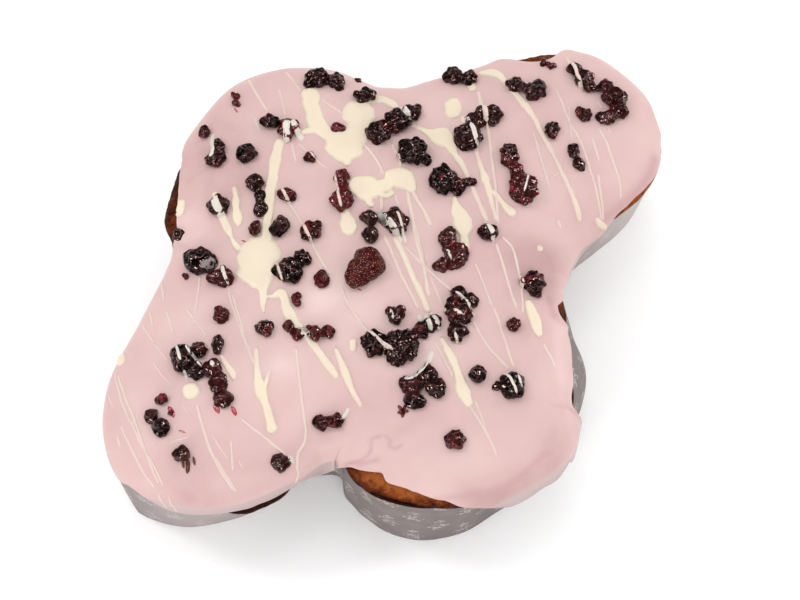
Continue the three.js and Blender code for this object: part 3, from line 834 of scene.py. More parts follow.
# berries
berryLook = {
    "sink": 1.2,              # how deep they sit in the icing
    "nudge": (0.5, 0.65, 0.0),
    "skin": 0.62,             # voxel of the smooth skin under the drupelets
    "fine": 0.42,             # voxel of the finished berry
    "core": 0.7,              # the skin lies this far inside the solid
    "lumps": (1.3, 4.2),      # broad unevenness and its size
    "drupelet": (1.7, 2.8),   # from one drupelet to the next, least and most
    "ballSize": (0.45, 1.0),  # a drupelet's radius against that
    "ballStretch": (0.75, 1.3),
    "ballSink": (0.4, 0.85),  # how deep its middle lies, against its radius
    "strays": 0.05,           # share of drupelets that stick out of the outline
    "straySink": (-0.3, 0.2),
    # the dark seams are painted shade between the drupelets
    "seam": 0.22,             # width of the dark seams between drupelets
    "folds": (0.55, 4.0, 0.1),  # depth and size of the wrinkles, and how narrow they are
    "grit": (0.3, 1.3),       # fine unevenness and its size
    "plump": 0.45,            # wrinkled skins stand this far outside the solid
    # pixel, reach and strength of redder spots, darker ones when negative
    "blushes": [
        ((203, 345), 4.0, 0.9), ((214, 367), 4.0, 0.5), ((219, 381), 4.0, 0.75), ((223, 398), 5.0, 0.75),
        ((152, 415), 3.5, 0.5), ((411, 390), 5.0, 0.65), ((282, 463), 5.0, 0.3), ((328, 421), 5.0, 0.3),
        ((511, 156), 5.0, -0.9), ((264, 327), 5.0, -0.25), ((446, 235), 5.0, -0.2), ((341, 204), 3.5, 0.15),
    ],
    "blushLevel": 74.0,
    # how bright a berry's skin is, by its number, where it differs from most
    "tints": {
        "dark": {2: 0.15, 3: 0.25, 6: 0.25, 7: 0.1, 16: 0.2, 21: 0.0, 22: 0.75, 24: 0.2, 27: 0.2, 29: 0.05,
                 30: 0.15, 31: 0.0},
        "red": {4: 0.15, 5: 0.4, 6: 0.25, 7: 0.35, 9: 0.65, 10: 0.25, 15: 0.2, 17: 0.1},
    },
    "usualTint": (0.3, 0.6),
    "wrinkledTint": (0.2, 0.6),
    "tintSpread": 0.15,       # from one drupelet to the next
    # numbers of the dark berries with a wrinkled skin
    "wrinkled": [2, 14, 15, 16, 17, 18, 19, 24, 28, 29, 30, 31, 32, 33, 34, 35],
    # colours of each skin: in its creases, where painted shade goes, usual, where it is bright, and flushed
    "skins": {
        "wrinkledSkin": [(6, 3, 2), (34, 19, 15), (56, 32, 27), (64, 19, 21)],
        "darkSkin": [(6, 1, 0), (40, 14, 12), (76, 27, 26), (94, 14, 24)],
        "redSkin": [(19, 3, 2), (66, 19, 19), (110, 33, 38), (132, 20, 38)],
        "berryBit": [(24, 5, 5), (62, 17, 19), (104, 28, 36), (134, 21, 40)],
    },
    "glint": (1.0, 0.66, 0.63, 1.0),
    "shine": (0.1, 0.75),     # dry and wet parts
    "gloss": (0.34, 0.1),
    "bump": (0.12, 0.4),
}


def berryFinish(name):
    look = berryLook
    crease, skin, bright, flush = (tone(*colour) for colour in look["skins"][name])
    finish = Finish(name, Specular_Tint=look["glint"])
    tint, deep, blush = finish.value("tint"), finish.value("deep"), finish.value("blush")
    bare = finish.calc("MULTIPLY_ADD", blush, 0.4, finish.calc("SUBTRACT", tint, 0.25))
    share = finish.calc("MULTIPLY_ADD", finish.grain(1.6, 3), 0.5, bare)
    body = finish.ramp(share, (0.1, crease), (0.55, skin), (1.0, bright))
    flushed = finish.ramp(finish.grain(6.5, 2), (0.57, black), (0.75, (0.8, 0.8, 0.8, 1)))
    body = finish.blend(finish.calc("ADD", flushed, blush), body, flush)
    # painted shade: seams and folds darkened towards the crease colour
    finish.colour(finish.blend(finish.calc("MULTIPLY", deep, 0.8), body, crease))
    wet = finish.ramp(finish.grain(2.4, 2), (0.44, black), (0.58, white))
    finish.join(finish.span(wet, *look["shine"]), finish.shader.inputs["Specular IOR Level"])
    finish.gloss(finish.span(wet, *look["gloss"]))
    finish.bump(finish.grain(1.1, 2, 0.5), *look["bump"])
    return finish.material


def voxelSkin(verts, faces, size):
    # the outside of closed meshes that may cross, as one even skin in millimetres
    mesh = bpy.data.meshes.new("loose")
    mesh.from_pydata((verts * mm).tolist(), [], faces)
    loose = bpy.data.objects.new("loose", mesh)
    bpy.context.collection.objects.link(loose)
    remesh = loose.modifiers.new("remesh", "REMESH")
    remesh.mode = "VOXEL"
    remesh.voxel_size = size * mm
    made = loose.evaluated_get(bpy.context.evaluated_depsgraph_get()).to_mesh()
    skin = np.empty(len(made.vertices) * 3)
    made.vertices.foreach_get("co", skin)
    skinFaces = [tuple(p.vertices) for p in made.polygons]
    bpy.data.objects.remove(loose)
    bpy.data.meshes.remove(mesh)
    return skin.reshape(-1, 3) / mm, skinFaces


def solidOf(node):
    # the node's solid in millimetres, its foot stretched down into the icing
    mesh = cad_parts[node].data
    verts = np.empty(len(mesh.vertices) * 3)
    mesh.vertices.foreach_get("co", verts)
    verts = verts.reshape(-1, 3) / mm - shift
    low, high = verts[:, 2].min(), verts[:, 2].max()
    verts[:, 2] = high - (high - verts[:, 2]) * (high - low + berryLook["sink"]) / (high - low)
    return verts + berryLook["nudge"], [tuple(p.vertices) for p in mesh.polygons]


def normals(verts, faces):
    corners = np.array([f if len(f) == 4 else (*f, f[-1]) for f in faces])
    a, b, c, d = (verts[corners[:, k]] for k in range(4))
    across = np.cross(c - a, d - b)
    total = np.zeros((len(verts), 3))
    for corner in corners.T:
        total += np.stack([np.bincount(corner, across[:, k], len(verts)) for k in range(3)], axis=1)
    return total / np.maximum(np.linalg.norm(total, axis=1), 1e-9)[:, None]


def scattered(verts, spacing, own):
    # rows of places spread over a skin, no two closer than the spacing
    left = own.permutation(len(verts))
    chosen = []
    while len(left):
        chosen.append(left[0])
        far = np.sum((verts[left] - verts[left[0]]) ** 2, axis=1)
        left = left[far > spacing ** 2]
    return np.array(chosen)


def ballForm():
    ball = bmesh.new()
    bmesh.ops.create_icosphere(ball, subdivisions=2, radius=1.0)
    verts = np.array([v.co[:] for v in ball.verts])
    faces = [tuple(v.index for v in f.verts) for f in ball.faces]
    ball.free()
    return verts, faces


def tintOf(node, usual):
    kind, number = node.split("_berry_")
    return berryLook["tints"][kind].get(int(number), usual)


def drupeletBerry(node, own):
    # many small balls over a core
    look = berryLook
    skin, faces = voxelSkin(*solidOf(node), look["skin"])
    skin = evened(skin, faces, 3)
    out = normals(skin, faces)
    depth, size = look["lumps"]
    skin = skin + out * (depth * roughness(skin + own.uniform(0, 99, 3), size, 2))[:, None]
    spacing = own.uniform(*look["drupelet"])
    rows = scattered(skin, spacing, own)
    many = len(rows)
    radius = spacing * own.uniform(*look["ballSize"], many)
    stray = own.uniform(0, 1, many) < look["strays"]
    sunk = np.where(stray, own.uniform(*look["straySink"], many), own.uniform(*look["ballSink"], many))
    centres = skin[rows] - out[rows] * (radius * sunk)[:, None]
    verts, allFaces = [skin - out * look["core"]], list(faces)
    ball, ballFaces = ballForm()
    for centre, r in zip(centres, radius):
        start = sum(len(v) for v in verts)
        stretch = own.uniform(*look["ballStretch"], 3)
        verts.append(centre + ball * stretch * r)
        allFaces += [tuple(c + start for c in f) for f in ballFaces]
    made, madeFaces = voxelSkin(np.vstack(verts), allFaces, look["fine"])
    made = evened(made, madeFaces, 3)
    depth, size = look["grit"]
    made = made + normals(made, madeFaces) * (depth * roughness(made, size, 2))[:, None]
    away = np.sqrt(((made[:, None] - centres[None]) ** 2).sum(2)) - radius
    order = np.argpartition(away, 1, axis=1)[:, :2]
    two = np.sort(np.take_along_axis(away, order, 1), axis=1)
    # painted shade in the seams between drupelets
    deep = np.exp(-((two[:, 1] - two[:, 0]) / look["seam"]) ** 2)
    base = tintOf(node, own.uniform(*look["usualTint"]))
    spread = look["tintSpread"]
    tint = base + own.uniform(-spread, spread, many)[away.argmin(1)]
    return made, madeFaces, tint, deep


def wrinkledBerry(node, own):
    # a taut dark skin that has dried into folds
    look = berryLook
    verts, faces = voxelSkin(*solidOf(node), look["fine"])
    verts = evened(verts, faces, 5)
    out = normals(verts, faces)
    depth, size = look["lumps"]
    broad = roughness(verts + own.uniform(0, 99, 3), size, 2)
    foldDepth, foldSize, foldWidth = look["folds"]
    fold = roughness(verts + own.uniform(0, 99, 3), foldSize, 2)
    deep = np.exp(-(fold / foldWidth) ** 2)
    verts = verts + out * (look["plump"] + depth * broad - foldDepth * deep)[:, None]
    verts = evened(verts, faces, 2)
    tint = np.clip(tintOf(node, own.uniform(*look["wrinkledTint"])) + 0.8 * broad, 0, 1)
    # the valleys of the folds get painted shade
    return verts, faces, tint, deep * 0.8


def joined(parts):
    # several skins as one list of vertices and faces
    faces, start = [], 0
    for part in parts:
        faces += [tuple(c + start for c in f) for f in part[1]]
        start += len(part[0])
    return np.vstack([part[0] for part in parts]), faces


def makeBerries(name, nodes, maker, material, values=("tint", "deep")):
    parts = []
    for node in nodes:
        own = np.random.default_rng(sum(ord(c) * k for k, c in enumerate(node)))
        parts.append(maker(node, own))
    verts, faces = joined(parts)
    rows = {key: np.concatenate([part[2 + k] for part in parts]) for k, key in enumerate(values)}
    rows["blush"] = np.zeros(len(verts))
    for pixel, reach, strength in berryLook["blushes"]:
        rows["blush"] += strength * nearness(verts, onLevel(*pixel, berryLook["blushLevel"]), reach, 2)
    addPiece(name, verts, faces, material, nodes, rows)
    return verts, faces


# strawberry
strawberryLook = {
    "voxel": 0.4,
    "seed": 0.8,              # from one seed to the next
    # pixels round its outline
    "outline": [
        (372, 246.5), (378, 250.5), (383, 257), (386.5, 264), (385, 269.5), (379, 274.5), (371, 279.5),
        (363, 284), (356, 286.8), (350, 286), (345.5, 281.5), (344, 274.5), (348, 266.5), (354, 257.5),
        (358, 250), (364, 247.5),
    ],
    "sectors": 48,            # in which the solid's own outline is measured
    "uneven": [(0.7, 5, 3), (0.2, 1.2, 2)],  # height, size and layers of the lumps
    "glint": (1.0, 0.5, 0.46, 1.0),
    "gloss": (0.1, 0.3),
    "bump": (0.35, 0.8),
    "skin": (74, 12, 9),
    "shade": (38, 3, 2),
    # pale seeds with painted glints on them
    "seedsAndGlints": (246, 196, 184),
}


def strawberryFinish():
    look = strawberryLook
    finish = Finish("candiedStrawberry", Specular_IOR_Level=0.22, Specular_Tint=look["glint"])
    skin = finish.ramp(finish.grain(3, 4), (0.3, tone(*look["shade"])), (0.7, tone(*look["skin"])))
    sockets = {"Vector": finish.place(), "Scale": 1 / (look["seed"] * mm), "Randomness": 0.85}
    away = finish.add("ShaderNodeTexVoronoi", sockets).outputs["Distance"]
    seed = finish.ramp(away, (0.14, white), (0.3, black))
    shown = finish.calc("MULTIPLY", seed, finish.span(finish.grain(1.3, 2), -0.25, 1.4))
    # the bright dots: seeds with painted glints
    finish.colour(finish.blend(shown, skin, tone(*look["seedsAndGlints"])))
    finish.gloss(finish.span(finish.grain(0.8, 2), *look["gloss"]))
    finish.bump(finish.calc("ADD", seed, finish.grain(0.7, 3)), *look["bump"])
    return finish.material


def strawberryFruit(node, own):
    look = strawberryLook
    verts, faces = voxelSkin(*solidOf(node), look["voxel"])
    verts = evened(verts, faces, 4)
    # its outline is drawn out to the one in the photograph
    wanted = np.array([onLevel(x, y, verts[:, 2].mean()) for x, y in look["outline"]])
    middle = (wanted.min(0) + wanted.max(0)) / 2
    turn = np.arctan2(*(wanted - middle).T[::-1])
    away = verts[:, :2] - (verts[:, :2].min(0) + verts[:, :2].max(0)) / 2
    angle = np.arctan2(*away.T[::-1])
    count, half = look["sectors"], look["sectors"] / 2
    sector = np.floor((angle / math.pi + 1) * half).astype(int) % count
    reach = np.array([np.linalg.norm(away[sector == k], axis=1).max() for k in range(count)])
    centres = (np.arange(count) + 0.5) / half * math.pi - math.pi
    far = np.interp(angle, turn, np.linalg.norm(wanted - middle, axis=1), period=2 * math.pi)
    scale = far / np.interp(angle, centres, rounded(reach, 3), period=2 * math.pi)
    verts[:, :2] = middle + away * scale[:, None]
    verts = evened(verts, faces, 2)
    out = normals(verts, faces)
    uneven = sum(height * roughness(verts, size, layers) for height, size, layers in look["uneven"])
    return verts + out * uneven[:, None], faces


# cream drizzle
drizzleLook = {
    "step": 0.8,
    "across": (7, 27, 0.7),   # places across a stroke, least and most, and millimetres between them
    "sink": 0.25,
    "outermost": 0.98,        # share of the half width beyond which a stroke dips into the icing
    "wander": 0.13,           # unevenness of the edges
    "wanderLength": (7, 9),   # of a stroke and of a pool
    "roundEnd": 0.9,          # least radius of an end
    "slope": 2.5,             # steepest fall from a berry
    "clear": (0.3, 0.12),     # from this climb on, the cream clears a berry by this much
    "icingProbe": (9, 16),    # height above the middle line and reach of the look down onto the icing
    "berryProbe": (14, 15),   # the same for the berries, from the foot on the icing
    "rise": (0.22, 0.14, 0.8),  # share of the width, least and most, in millimetres
    "film": 0.2,              # thickness of the streaks on berries
    "cream": (224, 209, 187),
    "thin": (221, 195, 186),
    "coat": (216, 207, 197),
    "veil": (128, 118, 116),   # cream so thin that the berry shows through
    "dull": (206, 186, 164),
    "fullWidth": (1.6, 4.5),  # widths at which the colour is thin, and full
    "gloss": (0.34, 0.5),
    "bump": (0.1, 0.4),
    "slim": 0.85,             # the threads against the widths below
    "poolStep": 0.45,         # grid of the pools
    "poolLine": 0.4,          # step along their middle lines
    "poolMargin": 15,
    "poolEdge": (0.1, 6),     # unevenness of a pool's edge and its length
    "poolRound": (0.5, -0.12),  # how soon a pool is full, and how far its edge dips
    "poolFoot": 0.6,          # how deep it sits in the icing
    "poolProbe": 120,         # height of the look down onto the icing
    "merge": 0.14,            # how softly pools run together
    # width in pixels, then places along each stroke
    "threads": [
        (4, (296, 347), (298, 365), (302, 400), (306, 438), (298, 455), (295, 483)),
        (5, (384, 235), (402, 276), (419, 310)),
        (9, (394, 236), (404, 256), (414, 278), (429, 313)),
        (5.5, (416, 230), (423, 259), (426, 280), (429, 297)),
        (4, (404, 246), (429, 270), (452, 292)),
        (3, (430, 276), (446, 315)),
        (4, (434, 339), (453, 378)),
        (3.5, (472, 320), (489, 348), (510, 370)),
        (3.5, (488, 300), (497, 316), (506, 345), (514, 369)),
        (4, (496, 243), (510, 288), (517, 309)),
        (3.5, (501, 236), (514, 252), (522, 293), (523, 314)),
        (3, (475, 263), (494, 311)),
        (3, (533, 131), (541, 160), (549, 188)),
        (2.5, (550, 178), (567, 169)),
        (3, (555, 87), (562, 103), (570, 123), (578, 137), (584, 151), (590, 170), (596, 189), (601, 221)),
        (2, (569, 106), (571, 139)),
        (3, (592, 138), (599, 161)),
        (3, (598, 174), (603, 221)),
        (3, (598, 128), (607, 144), (613, 162), (619, 180), (621, 199)),
        (3, (597, 100), (603, 110)),
        (3.5, (571, 186), (574, 197)),
        (4, (557, 219), (561, 229)),
        (3, (607, 128), (611, 134)),
        (3, (115, 372), (118, 388), (124, 408), (133, 426), (141, 444), (153, 464), (164, 487)),
        (3.5, (118, 375), (126, 399), (134, 418), (144, 447), (152, 468), (159, 484)),
        (3, (112, 374), (121, 398), (131, 424)),
        (3, (121, 426), (131, 448), (141, 468), (155, 488)),
        (2, (108, 394), (114, 408)),
        (2.5, (159, 494), (167, 508)),
        (2.5, (169, 496), (177, 512)),
        (2, (155, 344), (167, 360)),
        (2, (153, 362), (163, 376), (175, 388)),
        (2.5, (169, 444), (178, 440), (190, 437)),
        (4, (197, 403), (200, 418), (205, 435), (210, 450), (221, 471), (228, 482), (235, 491)),
        (2, (180, 403), (191, 416)),
        (2, (212, 435), (220, 448), (228, 460)),
        (2, (238, 459), (243, 469)),
        (3, (117, 435), (120, 448)),
        (3, (231, 440), (233, 471)),
        (4, (214, 457), (237, 492)),
        (4, (240, 418), (263, 436), (286, 455)),
        (3, (162, 283), (164, 302)),
        (3, (166, 310), (174, 335)),
        (3, (150, 311), (153, 327)),
        (3, (200, 276), (197, 301), (193, 326)),
        (3, (186, 308), (207, 337)),
        (3, (143, 325), (154, 343)),
        (3, (229, 286), (230, 298), (240, 329)),
        (3, (232, 294), (247, 343)),
        (3, (239, 324), (247, 347), (253, 363)),
        (3.5, (248, 80), (257, 95), (268, 112)),
        (3, (285, 72), (294, 82), (301, 91)),
        (2.5, (279, 89), (285, 116)),
        (3, (254, 117), (260, 131)),
        (3.5, (320, 98), (347, 117)),
        (5, (364, 144), (375, 157), (384, 175)),
        (3.5, (392, 143), (398, 158), (401, 168)),
        (3, (298, 143), (318, 162), (330, 170)),
        (3, (291, 142), (296, 162)),
        (4, (281, 188), (288, 202), (301, 222), (310, 240), (321, 260), (331, 275)),
        (3.5, (334, 174), (338, 190), (342, 211)),
        (4, (342, 287), (348, 304), (365, 328), (378, 342), (393, 354)),
        (4, (566, 57), (574, 75), (582, 92)),
        (3, (276, 259), (279, 271), (283, 283)),
        (6, (478, 91), (482, 106), (487, 126)),
        (4, (487, 126), (491, 152), (496, 189), (498, 224)),
        (6, (381, 196), (382, 204), (381, 212)),
        (4, (395, 193), (399, 208)),
        (6, (407, 190), (413, 224), (420, 252), (425, 267)),
        (6, (411, 189), (420, 204), (432, 227)),
        (3, (245, 338), (252, 358), (256, 370)),
        (3.5, (469, 405), (487, 434), (497, 457)),
        (3, (475, 400), (486, 429)),
        (4, (543, 343), (556, 369)),
    ],
    # streaks on berries
    "coats": [
        (8, (288, 124), (287, 134), (286, 144)),
        (8, (293, 124), (298, 132), (302, 141)),
        (9, (213, 196), (217, 205), (222, 217), (227, 226)),
        (9, (377, 211), (382, 219), (388, 228)),
        (6, (386, 222), (394, 232), (402, 243)),
        (3, (396, 216), (401, 228), (406, 243)),
        (4, (390, 311), (393, 322)),
        (3.5, (455, 294), (466, 303), (474, 317)),
        (4, (453, 312), (462, 319)),
        (3, (454, 335), (458, 345)),
        (5, (424, 314), (428, 322), (432, 332)),
        (5, (431, 312), (436, 322), (440, 331)),
        (5, (418, 314), (422, 322)),
        (3, (380, 343), (393, 353)),
        (3, (503, 372), (509, 384), (515, 396)),
        (3, (517, 376), (521, 390)),
        (4, (223, 267), (226, 276), (229, 286)),
        (2.5, (528, 174), (524, 186), (520, 198)),
        (3, (177, 346), (181, 354), (186, 366)),
        (3, (187, 344), (193, 355), (204, 370)),
        (3, (203, 342), (210, 350)),
        (4, (186, 372), (187, 380)),
        (5, (213, 363), (215, 371)),
        (6, (432, 350), (428, 362), (420, 371), (412, 378), (404, 380)),
        (6, (288, 455), (294, 464)),
        (5, (213, 133), (212, 143), (215, 150), (213, 162)),
        (6, (485, 221), (490, 231), (493, 242)),
        (7, (398, 107), (404, 113), (411, 122)),
        (7, (463, 117), (469, 127)),
        (5, (470, 130), (474, 141), (477, 149)),
        (3, (446, 251), (452, 263)),
        (8, (296, 321), (302, 330), (309, 339)),
        (5, (342, 419), (346, 414), (349, 407)),
    ],
    "veils": [
        (9, (204, 271), (211, 267), (218, 261)),
    ],
    # strokes whose width changes: x, y, width
    "pools": [
        [(318, 128, 8), (308, 131, 7), (300, 133, 4)],
        [(306, 88, 8), (310, 94, 18), (311, 104, 18), (314, 115, 17), (317, 124, 18), (324, 131, 15),
         (332, 138, 14)],
        [(328, 136, 10), (336, 139, 22), (344, 144, 32), (347, 152, 24), (347, 160, 12), (347, 167, 4)],
        [(350, 104, 10), (357, 111, 27), (361, 121, 27), (359, 131, 24), (352, 140, 22), (346, 146, 18)],
        [(360, 103, 7), (370, 100, 9), (382, 100, 9), (392, 104, 8), (398, 110, 4)],
        [(349, 183, 6), (356, 185, 17), (366, 188, 22), (376, 188, 19), (386, 185, 17), (393, 182, 12)],
        [(364, 192, 10), (368, 200, 8), (373, 208, 5)],
        [(383, 182, 12), (392, 178, 21), (402, 178, 23), (409, 184, 14), (414, 192, 6)],
        [(378, 193, 5), (386, 196, 6), (395, 192, 5)],
        [(342, 201, 3), (344, 210, 7), (347, 219, 14), (349, 227, 19), (350, 237, 15)],
        [(453, 97.5, 16.5), (453, 108.3, 17), (453, 119, 16.5)],
        [(411, 125, 3), (420, 129, 5), (429, 133, 10), (437, 136, 18), (444, 138, 20), (450, 145, 12),
         (456, 156, 8), (463, 167, 6), (471, 184, 5), (480, 205, 5), (487, 222, 5)],
        [(454, 196, 4), (456, 205, 9), (460, 215, 18), (463, 224, 19), (464, 234, 12), (465, 243, 8),
         (466, 251, 4)],
        [(246, 249, 12), (247, 260, 21), (250, 272, 17)],
        [(267, 238, 12), (266, 245, 28), (261, 252, 37), (257, 261, 40), (256.5, 269, 36), (259, 276, 27),
         (263, 284, 15), (263.5, 291, 9), (263.5, 299, 7), (263, 307, 5), (264, 313, 3)],
        [(266, 297, 3), (274, 296, 5), (281, 293, 10), (285, 300, 12), (287, 309, 12), (291, 317, 11),
         (296, 324, 9), (303, 331, 8), (311, 341, 8), (319, 352, 8), (327, 363, 8.5), (335, 374, 8),
         (338, 379, 5)],
        [(289, 318, 6), (290, 327, 5), (294, 337, 3)],
        [(191, 381.5, 18), (191, 391, 18.5), (191, 400.5, 18)],
        [(234, 187, 5), (236, 197, 7), (236, 208, 9), (238, 218, 10), (239, 227, 5)],
        [(281, 138, 9), (277, 151, 11.5), (274, 167, 11.5), (272, 182, 11), (270, 192, 12), (269, 207, 11),
         (268, 218, 10), (267, 230, 12), (268, 242, 11)],
        [(214, 192, 4), (218, 200, 9), (220, 210, 9), (225, 223, 8), (233, 240, 6), (240, 251, 5)],
        [(182, 199, 6), (181, 207, 9), (179, 217, 8)],
        [(220, 355, 3), (226, 364, 6), (232, 373, 8), (234, 381, 3)],
        [(256, 347, 4), (257, 368, 6), (260, 387, 11), (264, 399, 9), (269, 416, 8), (272, 429, 10),
         (272.5, 434, 6)],
        [(270, 369, 3), (266, 383, 5), (263, 392, 5)],
        [(335, 347, 4), (344, 369, 8), (352, 390, 7), (362, 407, 4)],
        [(353, 338, 7.5), (353, 345, 8), (353, 352, 7)],
        [(441, 337, 5), (450, 355, 8), (456, 368, 9), (463, 390, 12), (468, 401, 10), (472, 405, 4)],
        [(527, 300, 5), (530, 308, 10), (534, 318, 12), (538, 330, 9), (540, 338, 4)],
        [(492, 190, 4), (498, 197, 6), (505, 206, 6), (511, 212, 9), (516, 213, 5)],
        [(121, 356, 9), (121, 360.5, 9), (121, 365, 9)],
        [(540, 245, 6), (540, 248, 6), (540, 251, 6)],
        [(478, 74, 4), (490, 73, 9), (498, 75, 9), (507, 84, 5), (519, 98, 7), (532, 115, 6), (542, 133, 5),
         (552, 152, 4), (561, 170, 4), (569, 188, 4), (577, 208, 6), (580, 222, 4)],
        [(470, 80, 4), (471.5, 86, 8), (472, 92, 4)],
        [(462, 117, 5), (468, 124, 8), (472, 134, 7), (474, 144, 4), (481, 167, 6), (487, 183, 8),
         (492, 203, 5), (497, 222, 4)],
        [(596, 219, 4), (601, 225, 7), (606, 229, 4)],
    ],
}


def drizzleFinish():
    look = drizzleLook
    finish = Finish(
        "creamDrizzle", Subsurface_Weight=0.15, Subsurface_Scale=0.003,
        Subsurface_Radius=(1.0, 0.8, 0.6), Specular_IOR_Level=0.14)
    body = finish.blend(finish.value("body"), tone(*look["thin"]), tone(*look["cream"]))
    body = finish.blend(finish.value("cool"), body, tone(*look["coat"]))
    body = finish.blend(finish.value("thinned"), body, tone(*look["veil"]))
    dulled = finish.calc("MULTIPLY", finish.grain(5, 3), 0.12)
    finish.colour(finish.blend(dulled, body, tone(*look["dull"])))
    finish.gloss(finish.span(finish.grain(4, 3), *look["gloss"]))
    finish.bump(finish.grain(1.5, 3), *look["bump"])
    return finish.material


def strokeLine(points, ground, step):
    # a stroke's middle line on the icing, its width with rounded ends, and how near an end is
    onIcing = []
    for x, y, width in points:
        hit = ground.ray_cast(Vector(eye), Vector(pixelRay(x, y)))
        if hit[0] is not None:
            onIcing.append((*hit[0], width * hit[3] / view["focal"]))
    line, length = openSpline(onIcing, step)
    walked = np.linspace(0, length, len(line))
    ends = np.minimum(walked, length - walked) / np.maximum(line[:, 3] / 2, drizzleLook["roundEnd"])
    wide = line[:, 3] * np.sqrt(np.clip(1 - (1 - np.clip(ends, 0, 1)) ** 2, 0.003, 1))
    return line, length, walked, wide, ends


def stroke(points, ground, cover, own, climbs, film=None):
    # one closed ribbon of cream lying on whatever is under it
    look = drizzleLook
    line, length, walked, wide, ends = strokeLine(points, ground, look["step"])
    along = np.column_stack([walked, walked * 0])
    waveLength = look["wanderLength"][0]
    wobble = [1 + look["wander"] * softWaves(along, waveLength, own.integers(1e6)) for _ in range(2)]
    halves = np.stack(wobble, axis=1) * wide[:, None] / 2
    fewest, finest, apart = look["across"]
    across = max(fewest, min(finest, int(line[:, 3].max() / apart) | 1))  # always an odd number
    share = np.sin(np.linspace(-1, 1, across) * math.pi / 2)
    least, most = look["rise"][1:]
    tall = (film or np.clip(look["rise"][0] * wide, least, most)) * np.clip(ends, 0, 1) ** 0.5
    tangent = np.gradient(line[:, :3], axis=0)
    feet = np.empty((len(line), across, 3))
    ups = np.empty((len(line), 3))
    climb = np.zeros((len(line), across))
    icingUp, icingReach = look["icingProbe"]
    berryUp, berryReach = look["berryProbe"]
    for k, place in enumerate(line[:, :3]):
        near = ground.find_nearest(Vector(place))
        up = near[1] if near[1].z > 0 else -near[1]
        side = up.cross(Vector(tangent[k])).normalized()
        ups[k] = up
        for j, s in enumerate(share):
            at = Vector(place) + side * (s * halves[k, int(s > 0)])
            soft = ground.ray_cast(at + up * icingUp, -up, icingReach)
            foot = soft[0] if soft[0] is not None else at
            hit = cover.ray_cast(foot + up * berryUp, -up, berryReach)
            feet[k, j] = foot
            climb[k, j] = max(0, (hit[0] - foot).dot(up)) if climbs and hit[0] is not None else 0
    # where it climbs a berry it falls away no steeper than the slope
    fall = look["slope"] * length / len(line)
    for _ in range(2):
        for k in range(1, len(line)):
            climb[k] = np.maximum(climb[k], climb[k - 1] - fall)
        climb = climb[::-1]
        feet, ups = feet[::-1], ups[::-1]
    climbing, clearance = look["clear"]
    climb = climb + clearance * (climb > climbing)
    profile = 1 - share ** 2
    lift = climb + tall[:, None] * profile - look["sink"] * (abs(share) > look["outermost"])
    rings = feet + ups[:, None] * lift[:, :, None]
    rings[1:-1] = (rings[:-2] + 4 * rings[1:-1] + rings[2:]) / 6
    n = across
    verts = rings.reshape(-1, 3)
    faces = []
    for r in range(len(rings) - 1):
        for k in range(n):
            after = (k + 1) % n
            faces.append((r * n + k, (r + 1) * n + k, (r + 1) * n + after, r * n + after))
    faces.append(tuple(range(n)))
    faces.append(tuple(range(len(verts) - 1, len(verts) - 1 - n, -1)))
    body = smoothStep(np.repeat(line[:, 3], n), *look["fullWidth"])
    return verts, faces, body


